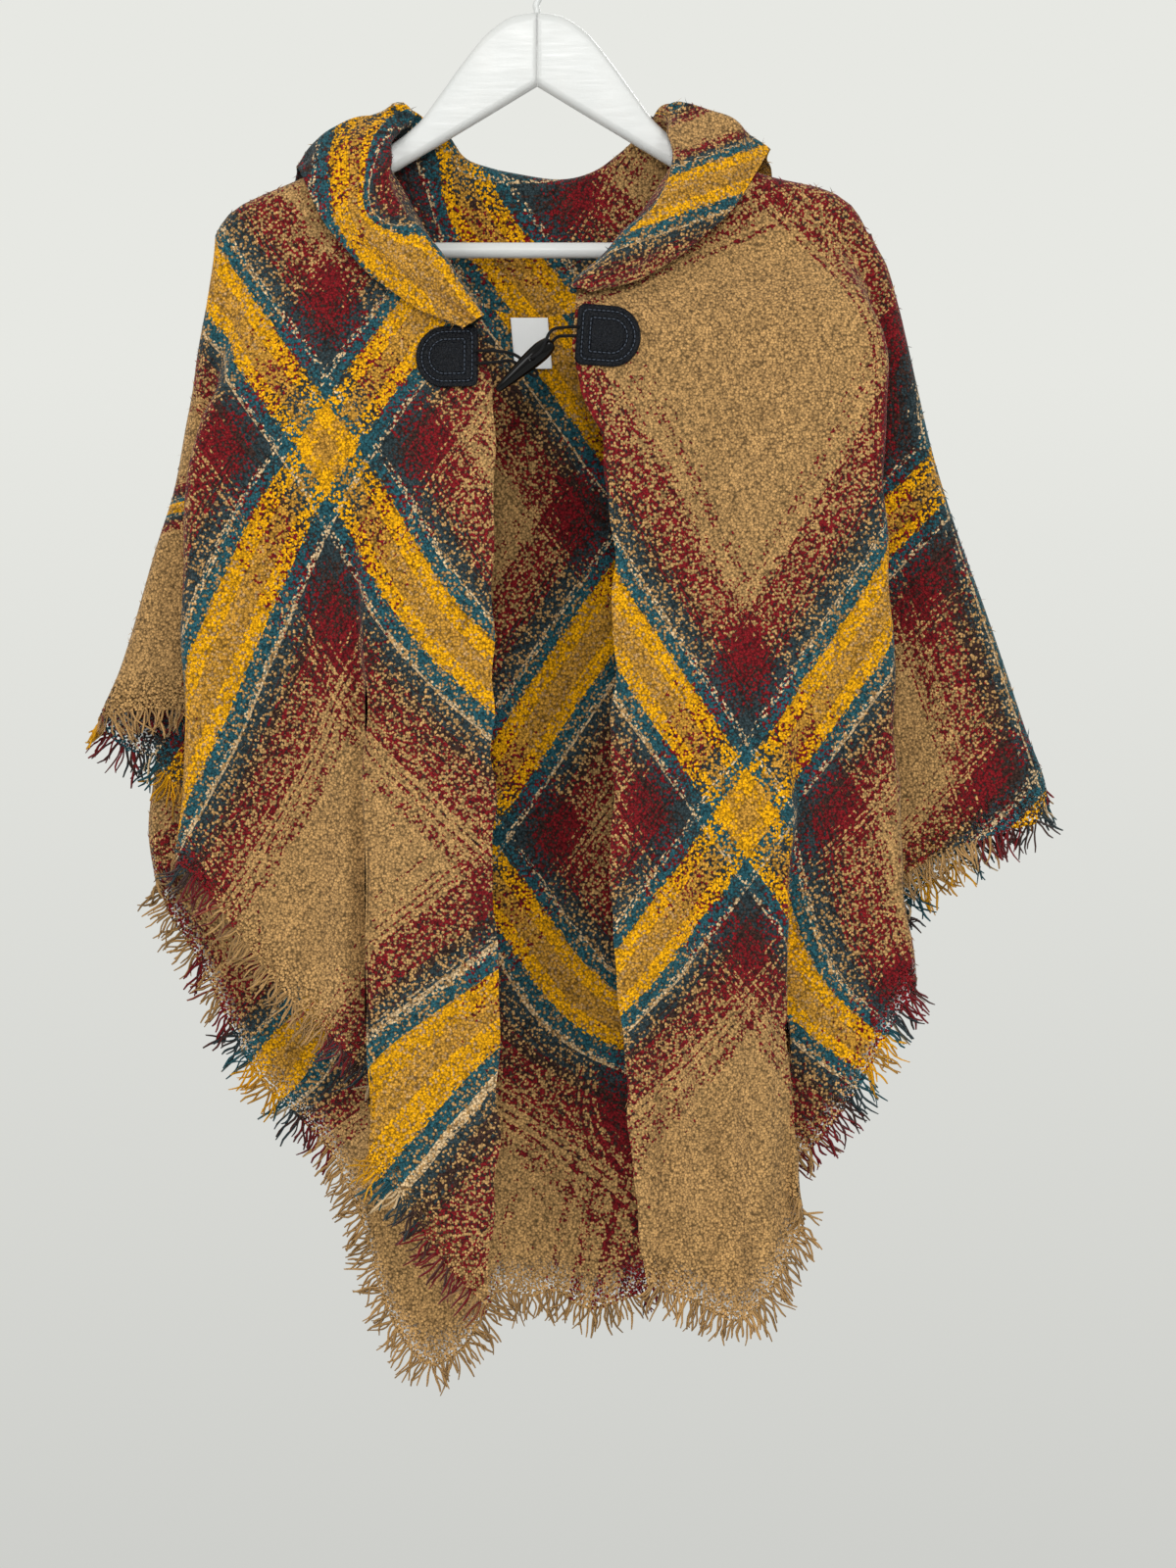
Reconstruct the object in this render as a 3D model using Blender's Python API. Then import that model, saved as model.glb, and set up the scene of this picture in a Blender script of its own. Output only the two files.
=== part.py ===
"""Hooded poncho of loose woven cloth, hung on a white wooden hanger.

Metres, +Z up. The origin is the bearing point inside the hook. +X is the wearer's left,
-Y is the front of the garment.
"""
import bpy
import bmesh
import math
import numpy as np
from mathutils import Vector
from mathutils.bvhtree import BVHTree

CLOTH = 0.0025          # wall of the bouclé cloth
SEAM_GAP = 0.0003       # parting between sewn pieces
HOOD_GAP = 0.0006       # parting at the neck seam, which turns as it goes
WRAP = 0.0105           # radius of the fold over the shoulder and along the side
PLEAT_RADIUS = 0.0045   # roll of the pleat beside the front opening
SIDE_RADIUS = 0.0065    # roll of the fold in front of each sleeve flap
BACK_RADIUS = 0.0060    # roll of the fold behind the right sleeve flap
ARC_SHARE = 0.4         # share of a fold's columns in each of its two turns

FRINGE_LENGTH = 0.021
FRINGE_PITCH = 0.0125
FRINGE_ROOT = 0.0030
FRINGE_STRIP = 0.0016
FRINGE_HALF = 0.0008
FRINGE_TRIM = 0.0010     # bare end of a hem beside its strip, and of the strip beside its first yarn
FRINGE_MARGIN = 0.0030
FRINGE_SWAY = 0.22

LEATHER = 0.0020
PATCH_LIFT = 0.0007
CORD_RADIUS = 0.0011
CORD_GAP = 0.0004
CORD_SEAT = 0.0012
LABEL_THICK = 0.0006

ARM_TOP_LIFT = 0.0006
ARM_ROUND = 0.0066
BAR_RADIUS = 0.00535
BAR_Z = -0.2278
BAR_HALF = 0.1950
HOOK_RADIUS = 0.00235
HOOK_BEND = 0.0200
APEX_Z = -0.0650

COLOURS = {
    "cloth": (0.43, 0.26, 0.11, 1.0),
    "fringe": (0.45, 0.28, 0.13, 1.0),
    "leather": (0.022, 0.028, 0.040, 1.0),
    "cord": (0.012, 0.012, 0.012, 1.0),
    "horn": (0.016, 0.012, 0.010, 1.0),
    "label": (0.82, 0.82, 0.80, 1.0),
    "white_wood": (0.83, 0.83, 0.81, 1.0),
    "white_wire": (0.83, 0.83, 0.81, 1.0),
}

# Hanger arm from the middle outwards: distance, top and bottom edge, depth front to back.
ARM_NAMES = ("q", "top", "bottom", "depth")
ARM_ROWS = (
    (0.00015, -0.0650, -0.1159, 0.0140),
    (0.0150, -0.0672, -0.1249, 0.0140),
    (0.0320, -0.0775, -0.1352, 0.0140),
    (0.0490, -0.0972, -0.1454, 0.0140),
    (0.0660, -0.1206, -0.1556, 0.0140),
    (0.0820, -0.1415, -0.1653, 0.0140),
    (0.1050, -0.1585, -0.1792, 0.0140),
    (0.1300, -0.1690, -0.1958, 0.0140),
    (0.1600, -0.1815, -0.2160, 0.0140),
    (0.1850, -0.1935, -0.2345, 0.0140),
    (0.1980, -0.2012, -0.2380, 0.0125),
    (0.2065, -0.2080, -0.2365, 0.0098),
    (0.2115, -0.2150, -0.2320, 0.0062),
)
TIP_ROOM = 0.0036       # extra room of the cloth round the end of an arm
TIP_ROOM_START = 0.1650
TIP_OUT = 0.0033        # how far the cloth's corner lies beyond and below the end of an arm
TIP_DROP = 0.0065
TIP_SLOPE = 12.0        # fall of the cloth's top edge beyond that corner
TOP_HIGH = -0.150       # levels between which the cloth's top edge lies
TOP_LOW = -0.300
EDGE_INSET = 0.0012     # how far inside the opening edge a piece on a panel feels for the cloth

# One row for each level of a front panel. q is measured outwards from the middle of the hanger.
# lean: how far the opening edge stands forward; turns in degrees.
FRONT_NAMES = ("z", "open_q", "lean", "pleat_q", "pleat_turn", "pleat_mid",
               "side_q", "side_turn", "side_mid", "edge_q")
FRONT_RIGHT_ROWS = (
    (-0.150, 0.042, 0.012, 0.1260, 10, 0.004, 0.1960, 15, 0.004, 0.2180),
    (-0.222, 0.042, 0.017, 0.1250, 10, 0.004, 0.1960, 18, 0.004, 0.2205),
    (-0.257, 0.041, 0.022, 0.1240, 10, 0.004, 0.2000, 30, 0.008, 0.2250),
    (-0.299, 0.037, 0.018, 0.1230, 10, 0.004, 0.2090, 62, 0.011, 0.2325),
    (-0.325, 0.029, 0.011, 0.1210, 12, 0.004, 0.2170, 88, 0.015, 0.2360),
    (-0.346, 0.029, 0.008, 0.1200, 16, 0.004, 0.2260, 108, 0.019, 0.2400),
    (-0.390, 0.029, 0.004, 0.1190, 28, 0.004, 0.2355, 132, 0.024, 0.2480),
    (-0.432, 0.029, 0.002, 0.1180, 48, 0.005, 0.2385, 150, 0.028, 0.2610),
    (-0.513, 0.029, 0.000, 0.1180, 80, 0.006, 0.2385, 165, 0.036, 0.2850),
    (-0.553, 0.029, 0.000, 0.1180, 92, 0.007, 0.2390, 169, 0.040, 0.3020),
    (-0.650, 0.029, 0.000, 0.1180, 110, 0.009, 0.2445, 172, 0.046, 0.3300),
    (-0.727, 0.025, 0.000, 0.1180, 126, 0.010, 0.2450, 172, 0.046, 0.3300),
    (-0.861, 0.027, 0.000, 0.1140, 148, 0.012, 0.2450, 172, 0.046, 0.3300),
    (-0.960, 0.036, 0.000, 0.1110, 152, 0.012, 0.2450, 172, 0.046, 0.3300),
)
FRONT_LEFT_ROWS = (
    (-0.150, 0.028, 0.014, 0.1560, 10, 0.004, 0.1960, 15, 0.004, 0.2200),
    (-0.222, 0.028, 0.020, 0.1580, 10, 0.004, 0.1970, 20, 0.004, 0.2250),
    (-0.246, 0.028, 0.024, 0.1590, 10, 0.004, 0.2080, 48, 0.008, 0.2360),
    (-0.274, 0.026, 0.024, 0.1600, 10, 0.004, 0.2240, 90, 0.013, 0.2440),
    (-0.294, 0.025, 0.020, 0.1610, 10, 0.004, 0.2310, 106, 0.016, 0.2490),
    (-0.325, 0.029, 0.014, 0.1620, 10, 0.004, 0.2345, 120, 0.020, 0.2570),
    (-0.365, 0.046, 0.008, 0.1640, 10, 0.004, 0.2350, 136, 0.025, 0.2680),
    (-0.420, 0.051, 0.004, 0.1670, 12, 0.004, 0.2375, 150, 0.030, 0.2870),
    (-0.472, 0.053, 0.002, 0.1690, 20, 0.004, 0.2400, 160, 0.036, 0.3060),
    (-0.555, 0.052, 0.000, 0.1720, 46, 0.005, 0.2440, 168, 0.044, 0.3340),
    (-0.600, 0.051, 0.000, 0.1720, 66, 0.006, 0.2465, 170, 0.048, 0.3490),
    (-0.660, 0.050, 0.000, 0.1715, 92, 0.008, 0.2490, 172, 0.052, 0.3520),
    (-0.740, 0.056, 0.000, 0.1730, 116, 0.010, 0.2600, 172, 0.052, 0.3520),
    (-0.853, 0.066, 0.000, 0.1800, 146, 0.012, 0.2650, 172, 0.052, 0.3520),
    (-0.935, 0.075, 0.000, 0.1900, 152, 0.012, 0.2650, 172, 0.052, 0.3520),
)

# Neck hole and the height of the cloth's top edge along it.
NECK_NAMES = ("q", "z")
NECK_RIGHT_ROWS = ((0.0405, -0.2790), (0.0620, -0.2510), (0.0800, -0.2230), (0.0940, -0.1960),
                   (0.1030, -0.1790), (0.1100, -0.1675))
NECK_LEFT_ROWS = ((0.0275, -0.2580), (0.0520, -0.2380), (0.0720, -0.2150), (0.0870, -0.1910),
                  (0.0950, -0.1760), (0.1020, -0.1640))
NECK_BACK_ROWS = ((-0.1100, -0.1680), (-0.1030, -0.1810), (-0.0920, -0.2040), (-0.0720, -0.2380),
                  (-0.0400, -0.2630), (0.0000, -0.2700), (0.0400, -0.2630), (0.0700, -0.2380),
                  (0.0870, -0.2010), (0.0950, -0.1780), (0.1020, -0.1645))
# Shares of the way along the neck hole, from the front opening to the shoulder, closer by the arm.
NECK_SHARES = (0.0, 0.26, 0.50, 0.68, 0.81, 0.89, 0.945, 0.98, 1.0)
NECK_SIDE_RIGHT = 0.1160
NECK_SIDE_LEFT = 0.1080

# Hem of each front panel: place across the panel, from 0 at the opening to 6 at the side fold, by way
# of the pleat (1 to 2) and the side fold (3 to 4), and the height of the cut edge there.
HEM_NAMES = ("c", "z")
HEM_RIGHT_ROWS = ((0.0, -0.9450), (0.3, -0.9250), (0.6, -0.8950), (1.0, -0.8550), (2.0, -0.7900),
                  (2.35, -0.7480), (2.7, -0.6960), (3.0, -0.6540), (4.0, -0.5860), (4.2, -0.5530),
                  (4.6, -0.5440), (6.0, -0.5450))
HEM_LEFT_ROWS = ((0.0, -0.9280), (0.3, -0.9430), (0.52, -0.9540), (0.8, -0.9270), (1.0, -0.8950),
                 (2.0, -0.8520), (2.5, -0.8060), (3.0, -0.7380), (4.0, -0.6950), (4.3, -0.6630),
                 (4.6, -0.6380), (6.0, -0.5950))

# Back panel: the fold behind the sleeve flap, and how far the middle stands out behind.
BACK_NAMES = ("z", "fold_x", "turn", "mid", "bulge")
BACK_ROWS = (
    (-0.150, -0.1950, 15, 0.004, 0.016),
    (-0.222, -0.1950, 18, 0.004, 0.024),
    (-0.299, -0.2050, 55, 0.006, 0.024),
    (-0.358, -0.2100, 105, 0.010, 0.014),
    (-0.432, -0.2140, 148, 0.020, 0.006),
    (-0.513, -0.2190, 167, 0.028, 0.003),
    (-0.563, -0.2210, 172, 0.033, 0.002),
    (-0.660, -0.2210, 172, 0.034, 0.000),
    (-0.990, -0.2210, 172, 0.034, 0.000),
)
HEM_BACK_SIDE_ROWS = ((0.0, -0.5450), (1.5, -0.5760), (2.0, -0.6120), (2.5, -0.6480), (3.0, -0.6700))
HEM_BACK_NAMES = ("x", "z")
HEM_BACK_ROWS = (
    (-0.262, -0.6700), (-0.232, -0.7190), (-0.193, -0.7950), (-0.146, -0.8430), (-0.122, -0.8920),
    (-0.107, -0.9490), (-0.092, -0.9780), (-0.074, -0.9960), (-0.056, -0.9890), (-0.040, -0.9680),
    (-0.026, -0.9450), (-0.006, -0.9500), (0.010, -0.9450), (0.036, -0.9560), (0.058, -0.9490),
    (0.100, -0.9180), (0.150, -0.8680), (0.200, -0.7960), (0.226, -0.7380), (0.248, -0.6840),
    (0.300, -0.6380), (0.342, -0.5950),
)

# Soft hanging folds: place across the panel, width, depth (+ is backwards), top and bottom level.
WAVE_RAMP = 0.45        # share of its height in which a fold grows to its full depth
WAVE_NAMES = ("c", "width", "depth", "top", "bottom")
WAVES_RIGHT = ((0.50, 0.26, 0.0050, -0.420, -0.980), (2.45, 0.22, 0.0055, -0.330, -0.980),
               (2.80, 0.14, -0.0030, -0.330, -0.980), (4.45, 0.22, 0.0030, -0.330, -0.980))
WAVES_LEFT = ((0.35, 0.20, 0.0050, -0.450, -0.980), (0.72, 0.16, -0.0040, -0.500, -0.980),
              (2.50, 0.30, 0.0045, -0.400, -0.980), (4.45, 0.22, 0.0035, -0.330, -0.980))
WAVES_BACK = ((3.16, 0.05, -0.0070, -0.450, -1.000), (3.30, 0.05, 0.0080, -0.450, -1.000),
              (3.42, 0.05, -0.0060, -0.500, -1.000), (3.56, 0.06, 0.0060, -0.450, -1.000),
              (3.72, 0.06, -0.0070, -0.400, -1.000), (3.86, 0.05, 0.0060, -0.350, -1.000))

# Hood lying down: one row for each section round the neck, from the wearer's right front end,
# by the back, to the left front end. crest: top of the roll; edge: where the outer fall ends.
# turn and back_up: the pouch at the back turns there and comes up again.
HOOD_NAMES = ("place", "crest_x", "crest_y", "crest_z", "edge_x", "edge_y", "edge_z",
              "puff", "turn", "back_up")
HOOD_ROWS = (
    (-1.00, -0.0365, -0.0560, -0.2770, -0.0500, -0.0500, -0.2850, 0.0005, 0, 0.000),
    (-0.84, -0.0500, -0.0560, -0.2600, -0.0780, -0.0390, -0.2720, 0.0030, 0, 0.000),
    (-0.70, -0.0740, -0.0490, -0.2260, -0.1040, -0.0300, -0.2550, 0.0050, 0, 0.000),
    (-0.60, -0.1000, -0.0400, -0.1980, -0.1320, -0.0270, -0.2280, 0.0060, 0, 0.000),
    (-0.55, -0.1030, -0.0280, -0.1720, -0.1500, -0.0230, -0.2040, 0.0070, 0, 0.000),
    (-0.525, -0.0985, -0.0170, -0.1500, -0.1600, -0.0170, -0.1770, 0.0080, 0, 0.000),
    (-0.50, -0.0920, -0.0060, -0.1340, -0.1650, 0.0020, -0.1690, 0.0080, 0, 0.000),
    (-0.46, -0.0810, 0.0050, -0.1310, -0.1620, 0.0240, -0.1790, 0.0100, 40, 0.000),
    (-0.42, -0.0715, 0.0140, -0.1410, -0.1550, 0.0420, -0.2060, 0.0110, 110, 0.004),
    (-0.36, -0.0600, 0.0240, -0.1500, -0.1430, 0.0580, -0.2600, 0.0110, 165, 0.030),
    (-0.30, -0.0480, 0.0310, -0.1610, -0.1260, 0.0680, -0.3150, 0.0100, 172, 0.080),
    (-0.15, -0.0270, 0.0410, -0.1690, -0.0680, 0.0780, -0.4050, 0.0080, 175, 0.150),
    (0.00, 0.0000, 0.0460, -0.1750, 0.0000, 0.0800, -0.4300, 0.0060, 176, 0.175),
    (0.15, 0.0300, 0.0410, -0.1730, 0.0680, 0.0780, -0.4050, 0.0080, 175, 0.150),
    (0.30, 0.0530, 0.0310, -0.1650, 0.1240, 0.0680, -0.3100, 0.0100, 172, 0.080),
    (0.36, 0.0625, 0.0240, -0.1560, 0.1400, 0.0580, -0.2540, 0.0110, 165, 0.030),
    (0.42, 0.0725, 0.0140, -0.1410, 0.1510, 0.0420, -0.1980, 0.0110, 110, 0.004),
    (0.46, 0.0810, 0.0050, -0.1320, 0.1570, 0.0240, -0.1720, 0.0100, 40, 0.000),
    (0.50, 0.0890, -0.0060, -0.1300, 0.1580, 0.0020, -0.1600, 0.0080, 0, 0.000),
    (0.525, 0.0930, -0.0170, -0.1430, 0.1520, -0.0150, -0.1720, 0.0080, 0, 0.000),
    (0.55, 0.0950, -0.0280, -0.1620, 0.1400, -0.0240, -0.1940, 0.0070, 0, 0.000),
    (0.60, 0.0880, -0.0420, -0.1930, 0.1240, -0.0310, -0.2120, 0.0060, 0, 0.000),
    (0.70, 0.0640, -0.0540, -0.2210, 0.1010, -0.0370, -0.2330, 0.0050, 0, 0.000),
    (0.84, 0.0420, -0.0620, -0.2430, 0.0720, -0.0490, -0.2510, 0.0030, 0, 0.000),
    (1.00, 0.0235, -0.0660, -0.2570, 0.0370, -0.0620, -0.2620, 0.0005, 0, 0.000),
)
POUCH_RADIUS = 0.0110

# Horn toggle along its length: distance from the thick end and radius.
TOGGLE_ROWS = ((0.0000, 0.0030), (0.0030, 0.0052), (0.0110, 0.0066), (0.0200, 0.0062),
               (0.0320, 0.0048), (0.0430, 0.0032), (0.0500, 0.0019))


for old in list(bpy.data.objects):
    bpy.data.objects.remove(old, do_unlink=True)

garment = bpy.data.collections.new("poncho_on_hanger")
cutters = bpy.data.collections.new("cutters")
bpy.context.scene.collection.children.link(garment)
bpy.context.scene.collection.children.link(cutters)


def table(names, rows):
    """Columns of a table by name."""
    data = np.array(rows, dtype=float)
    return {name: data[:, i] for i, name in enumerate(names)}


def soft_line(xs, ys, x):
    """Smooth curve through the rows of a table that does not overshoot them."""
    if x <= xs[0]:
        return float(ys[0])
    if x >= xs[-1]:
        return float(ys[-1])
    step = np.diff(xs)
    slope = np.diff(ys) / step
    tangent = np.zeros(len(xs))
    for i in range(1, len(xs) - 1):
        if slope[i - 1] * slope[i] > 0.0:
            tangent[i] = 2.0 * slope[i - 1] * slope[i] / (slope[i - 1] + slope[i])
    tangent[0] = slope[0]
    tangent[-1] = slope[-1]
    i = int(np.searchsorted(xs, x)) - 1
    t = (x - xs[i]) / step[i]
    a = (1.0 + 2.0 * t) * (1.0 - t) ** 2
    b = t * (1.0 - t) ** 2
    c = t * t * (3.0 - 2.0 * t)
    d = t * t * (t - 1.0)
    return float(a * ys[i] + b * step[i] * tangent[i] + c * ys[i + 1] + d * step[i] * tangent[i + 1])


def level(rows, name, z):
    """Value of a named column at height z, for tables that run downwards."""
    return soft_line(-rows["z"], rows[name], -z)


def ease(t):
    t = min(max(t, 0.0), 1.0)
    return t * t * (3.0 - 2.0 * t)


def lerp(a, b, t):
    return a + (b - a) * t


def fold_run(turn, radius, mid, t):
    """Place along a fold lying over: a turn back, a straight layer, a turn forward again."""
    if t <= ARC_SHARE:
        angle = turn * t / ARC_SHARE
        return radius * math.sin(angle), radius * (1.0 - math.cos(angle))
    out = radius * math.sin(turn)
    back = radius * (1.0 - math.cos(turn))
    if t < 1.0 - ARC_SHARE:
        part = mid * (t - ARC_SHARE) / (1.0 - 2.0 * ARC_SHARE)
        return out + part * math.cos(turn), back + part * math.sin(turn)
    out += mid * math.cos(turn) + radius * math.sin(turn)
    back += mid * math.sin(turn) - radius * math.cos(turn)
    angle = turn * (1.0 - t) / ARC_SHARE
    return out - radius * math.sin(angle), back + radius * math.cos(angle)


def fold_reach(turn, radius):
    """Distance from the start of a fold to its outermost point."""
    return radius * math.sin(min(turn, math.pi / 2.0))


ARM = table(ARM_NAMES, ARM_ROWS)


def shoulder_line():
    """Outer face of the cloth along the top of a hanger arm, as q and z."""
    q = ARM["q"]
    z = ARM["top"]
    line = []
    for i in range(4, len(q)):
        room = TIP_ROOM * ease((q[i] - TIP_ROOM_START) / (q[-1] - TIP_ROOM_START))
        lift = CLOTH + ARM_TOP_LIFT + room
        low = max(i - 1, 0)
        high = min(i + 1, len(q) - 1)
        run = math.hypot(q[high] - q[low], z[high] - z[low])
        line.append((q[i] - (z[high] - z[low]) / run * lift, z[i] + (q[high] - q[low]) / run * lift))
    return line


SHOULDER = shoulder_line()
TIP_Q, TIP_Z = SHOULDER[-1]
TIP_Q += TIP_OUT
TIP_Z -= TIP_DROP
SHOULDER.append((TIP_Q, TIP_Z))


def shoulder_height(q):
    return float(np.interp(q, [p[0] for p in SHOULDER], [p[1] for p in SHOULDER]))


def shoulder_distance(q, z, start):
    """Shortest way in the picture plane from a point to the shoulder fold, outwards of start."""
    best = 1.0
    for (q0, z0), (q1, z1) in zip(SHOULDER[:-1], SHOULDER[1:]):
        if q1 <= start:
            continue
        if q0 < start:
            z0 = lerp(z0, z1, (start - q0) / (q1 - q0))
            q0 = start
        run = (q1 - q0) ** 2 + (z1 - z0) ** 2
        t = min(max(((q - q0) * (q1 - q0) + (z - z0) * (z1 - z0)) / run, 0.0), 1.0)
        best = min(best, math.hypot(q - lerp(q0, q1, t), z - lerp(z0, z1, t)))
    return best


def wrap_share(distance):
    """Round rise of the cloth away from a fold line."""
    u = min(distance / WRAP, 1.0)
    return math.sqrt(max(1.0 - (1.0 - u) ** 2, 0.0))


def wave_depth(rows, c, z):
    total = 0.0
    for place, width, depth, top, bottom in rows:
        fade = ease((top - z) / (WAVE_RAMP * (top - bottom)))
        total += depth * fade * math.exp(-((c - place) / width) ** 2)
    return total


class FrontPanel:
    """One front of the poncho, from its opening edge to the side fold."""

    def __init__(self, side, rows, neck, neck_side, hem, waves):
        self.side = side
        self.rows = table(FRONT_NAMES, rows)
        self.neck_q = [p[0] for p in neck] + [neck_side]
        self.neck_z = [p[1] for p in neck] + [shoulder_height(neck_side)]
        self.neck_side = neck_side
        self.hem = table(HEM_NAMES, hem)
        self.waves = waves

    def top(self, q):
        if q < self.neck_side:
            return soft_line(np.array(self.neck_q), np.array(self.neck_z), q)
        if q > TIP_Q:
            return max(TIP_Z - TIP_SLOPE * (q - TIP_Q), TIP_Z - 0.5 * WRAP)
        return shoulder_height(q)

    def sizes(self, z):
        size = {name: level(self.rows, name, z) for name in FRONT_NAMES[1:]}
        pleat = (math.radians(size["pleat_turn"]), PLEAT_RADIUS, size["pleat_mid"])
        side = (math.radians(size["side_turn"]), SIDE_RADIUS, size["side_mid"])
        size["pleat"] = pleat
        size["side"] = side
        size["pleat_start"] = size["pleat_q"] - fold_reach(pleat[0], PLEAT_RADIUS)
        size["side_start"] = size["side_q"] - fold_reach(side[0], SIDE_RADIUS)
        out, back = fold_run(*pleat, 1.0)
        size["pleat_end"] = size["pleat_start"] + out
        pleat_back = back
        out, back = fold_run(*side, 1.0)
        size["side_end"] = size["side_start"] + out
        size["y_main"] = -WRAP - back
        size["y_open"] = size["y_main"] - pleat_back
        return size

    def flat(self, c, z):
        """Place (q, y) of column c at height z, before the cloth bends over the shoulder."""
        s = self.sizes(z)
        part = min(int(c), 5)
        f = c - part
        if part == 0:
            q = lerp(s["open_q"], s["pleat_start"], f)
            y = s["y_open"] - s["lean"] * (1.0 - f) ** 1.6
        elif part == 1:
            out, back = fold_run(*s["pleat"], f)
            q = s["pleat_start"] + out
            y = s["y_open"] + back
        elif part == 2:
            q = lerp(s["pleat_end"], s["side_start"], f)
            y = s["y_main"]
        elif part == 3:
            out, back = fold_run(*s["side"], f)
            q = s["side_start"] + out
            y = s["y_main"] + back
        elif part == 4:
            q = lerp(s["side_end"], s["edge_q"] - WRAP, f)
            y = -WRAP
        else:
            q = s["edge_q"] - WRAP + WRAP * math.sin(f * math.pi / 2.0)
            y = -WRAP * math.cos(f * math.pi / 2.0)
        if part < 5:
            y += wave_depth(self.waves, c, z)
        return q, y

    def point(self, c, z):
        q, y = self.flat(c, z)
        if z > TIP_Z - 2.5 * WRAP:
            share = wrap_share(shoulder_distance(q, z, self.neck_side))
            y = max(y, -WRAP * share) if c > 5.0 else y * share
        return self.side * q, y, z

    def column_at_neck(self, q):
        z = self.top(q)
        s = self.sizes(z)
        return min(max((q - s["open_q"]) / (s["pleat_start"] - s["open_q"]), 0.0), 1.0)

    def column_top(self, c):
        high = TOP_HIGH
        low = TOP_LOW
        for _ in range(40):
            z = 0.5 * (high + low)
            if z > self.top(self.flat(c, z)[0]):
                high = z
            else:
                low = z
        return 0.5 * (high + low)

    def keep_face(self, grid):
        """Remember the outer face, to lay other pieces on it."""
        rows, cols = grid.shape[:2]
        halves = []
        for i in range(rows - 1):
            for j in range(cols - 1):
                low = i * cols + j
                halves += [(low, low + 1, low + cols + 1), (low, low + cols + 1, low + cols)]
        self.face = BVHTree.FromPolygons([Vector(p) for p in grid.reshape(-1, 3)], halves)

    def front_y(self, q, z, about):
        """Foremost face of the panel about a place in the picture plane."""
        best = 0.0
        for dq in (-about, 0.0, about):
            for dz in (-about, 0.0, about):
                inside = max(q + dq, level(self.rows, "open_q", z + dz) + EDGE_INSET)
                start = Vector((self.side * inside, -1.0, z + dz))
                hit = self.face.ray_cast(start, Vector((0.0, 1.0, 0.0)))
                if hit[0] is not None:
                    best = min(best, hit[0].y)
        return best


class BackPanel:
    """The back of the poncho, from one side fold to the other."""

    def __init__(self, right, left):
        self.right = right
        self.left = left
        self.rows = table(BACK_NAMES, BACK_ROWS)
        self.neck_x = [-NECK_SIDE_RIGHT] + [p[0] for p in NECK_BACK_ROWS] + [NECK_SIDE_LEFT]
        self.neck_z = ([shoulder_height(NECK_SIDE_RIGHT)] + [p[1] for p in NECK_BACK_ROWS]
                       + [shoulder_height(NECK_SIDE_LEFT)])
        self.side_hem = table(HEM_NAMES, HEM_BACK_SIDE_ROWS)
        self.hem = table(HEM_BACK_NAMES, HEM_BACK_ROWS)

    def top(self, x):
        if -NECK_SIDE_RIGHT < x < NECK_SIDE_LEFT:
            return soft_line(np.array(self.neck_x), np.array(self.neck_z), x)
        q = abs(x)
        if q > TIP_Q:
            return max(TIP_Z - TIP_SLOPE * (q - TIP_Q), TIP_Z - 0.5 * WRAP)
        return shoulder_height(q)

    def sizes(self, z):
        size = {name: level(self.rows, name, z) for name in BACK_NAMES[1:]}
        size["right_edge"] = level(self.right.rows, "edge_q", z)
        size["left_edge"] = level(self.left.rows, "edge_q", z)
        fold = (math.radians(size["turn"]), BACK_RADIUS, size["mid"])
        size["fold"] = fold
        size["start"] = size["fold_x"] - fold_reach(fold[0], BACK_RADIUS)
        out, back = fold_run(*fold, 1.0)
        size["end"] = size["start"] + out
        size["y_main"] = WRAP + back
        return size

    def flat(self, c, z):
        s = self.sizes(z)
        part = min(int(c), 4)
        f = c - part
        if part == 0:
            angle = (1.0 - f) * math.pi / 2.0
            x = -(s["right_edge"] - WRAP + WRAP * math.sin(angle))
            y = WRAP * math.cos(angle)
        elif part == 1:
            x = lerp(-(s["right_edge"] - WRAP), s["start"], f)
            y = WRAP
        elif part == 2:
            out, back = fold_run(*s["fold"], f)
            x = s["start"] + out
            y = WRAP + back
        elif part == 3:
            x = lerp(s["end"], s["left_edge"] - WRAP, f)
            y = lerp(s["y_main"], WRAP, ease((f - 0.55) / 0.45))
            y += s["bulge"] * math.sin(math.pi * f) ** 2
            y -= wave_depth(WAVES_BACK, c, z) * ease(f / 0.06) * ease((1.0 - f) / 0.06)
        else:
            angle = f * math.pi / 2.0
            x = s["left_edge"] - WRAP + WRAP * math.sin(angle)
            y = WRAP * math.cos(angle)
        return x, y

    def point(self, c, z):
        x, y = self.flat(c, z)
        if z > TIP_Z - 2.5 * WRAP:
            start = NECK_SIDE_RIGHT if x < 0.0 else NECK_SIDE_LEFT
            share = wrap_share(shoulder_distance(abs(x), z, start))
            y = min(y, WRAP * share) if c < 1.0 or c > 4.0 else y * share
        return x, y, z

    def column_at_top(self, x):
        s = self.sizes(self.top(x))
        return 3.0 + (x - s["end"]) / (s["left_edge"] - WRAP - s["end"])

    def column_top(self, c):
        high = TOP_HIGH
        low = TOP_LOW
        for _ in range(40):
            z = 0.5 * (high + low)
            if z > self.top(self.flat(c, z)[0]):
                high = z
            else:
                low = z
        return 0.5 * (high + low)

    def column_hem(self, c):
        if c <= 3.0:
            return soft_line(self.side_hem["c"], self.side_hem["z"], c)
        z = -0.80
        for _ in range(30):
            x = self.flat(min(c, 5.0), z)[0]
            z = lerp(z, soft_line(self.hem["x"], self.hem["z"], x), 0.5)
        return z


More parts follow.
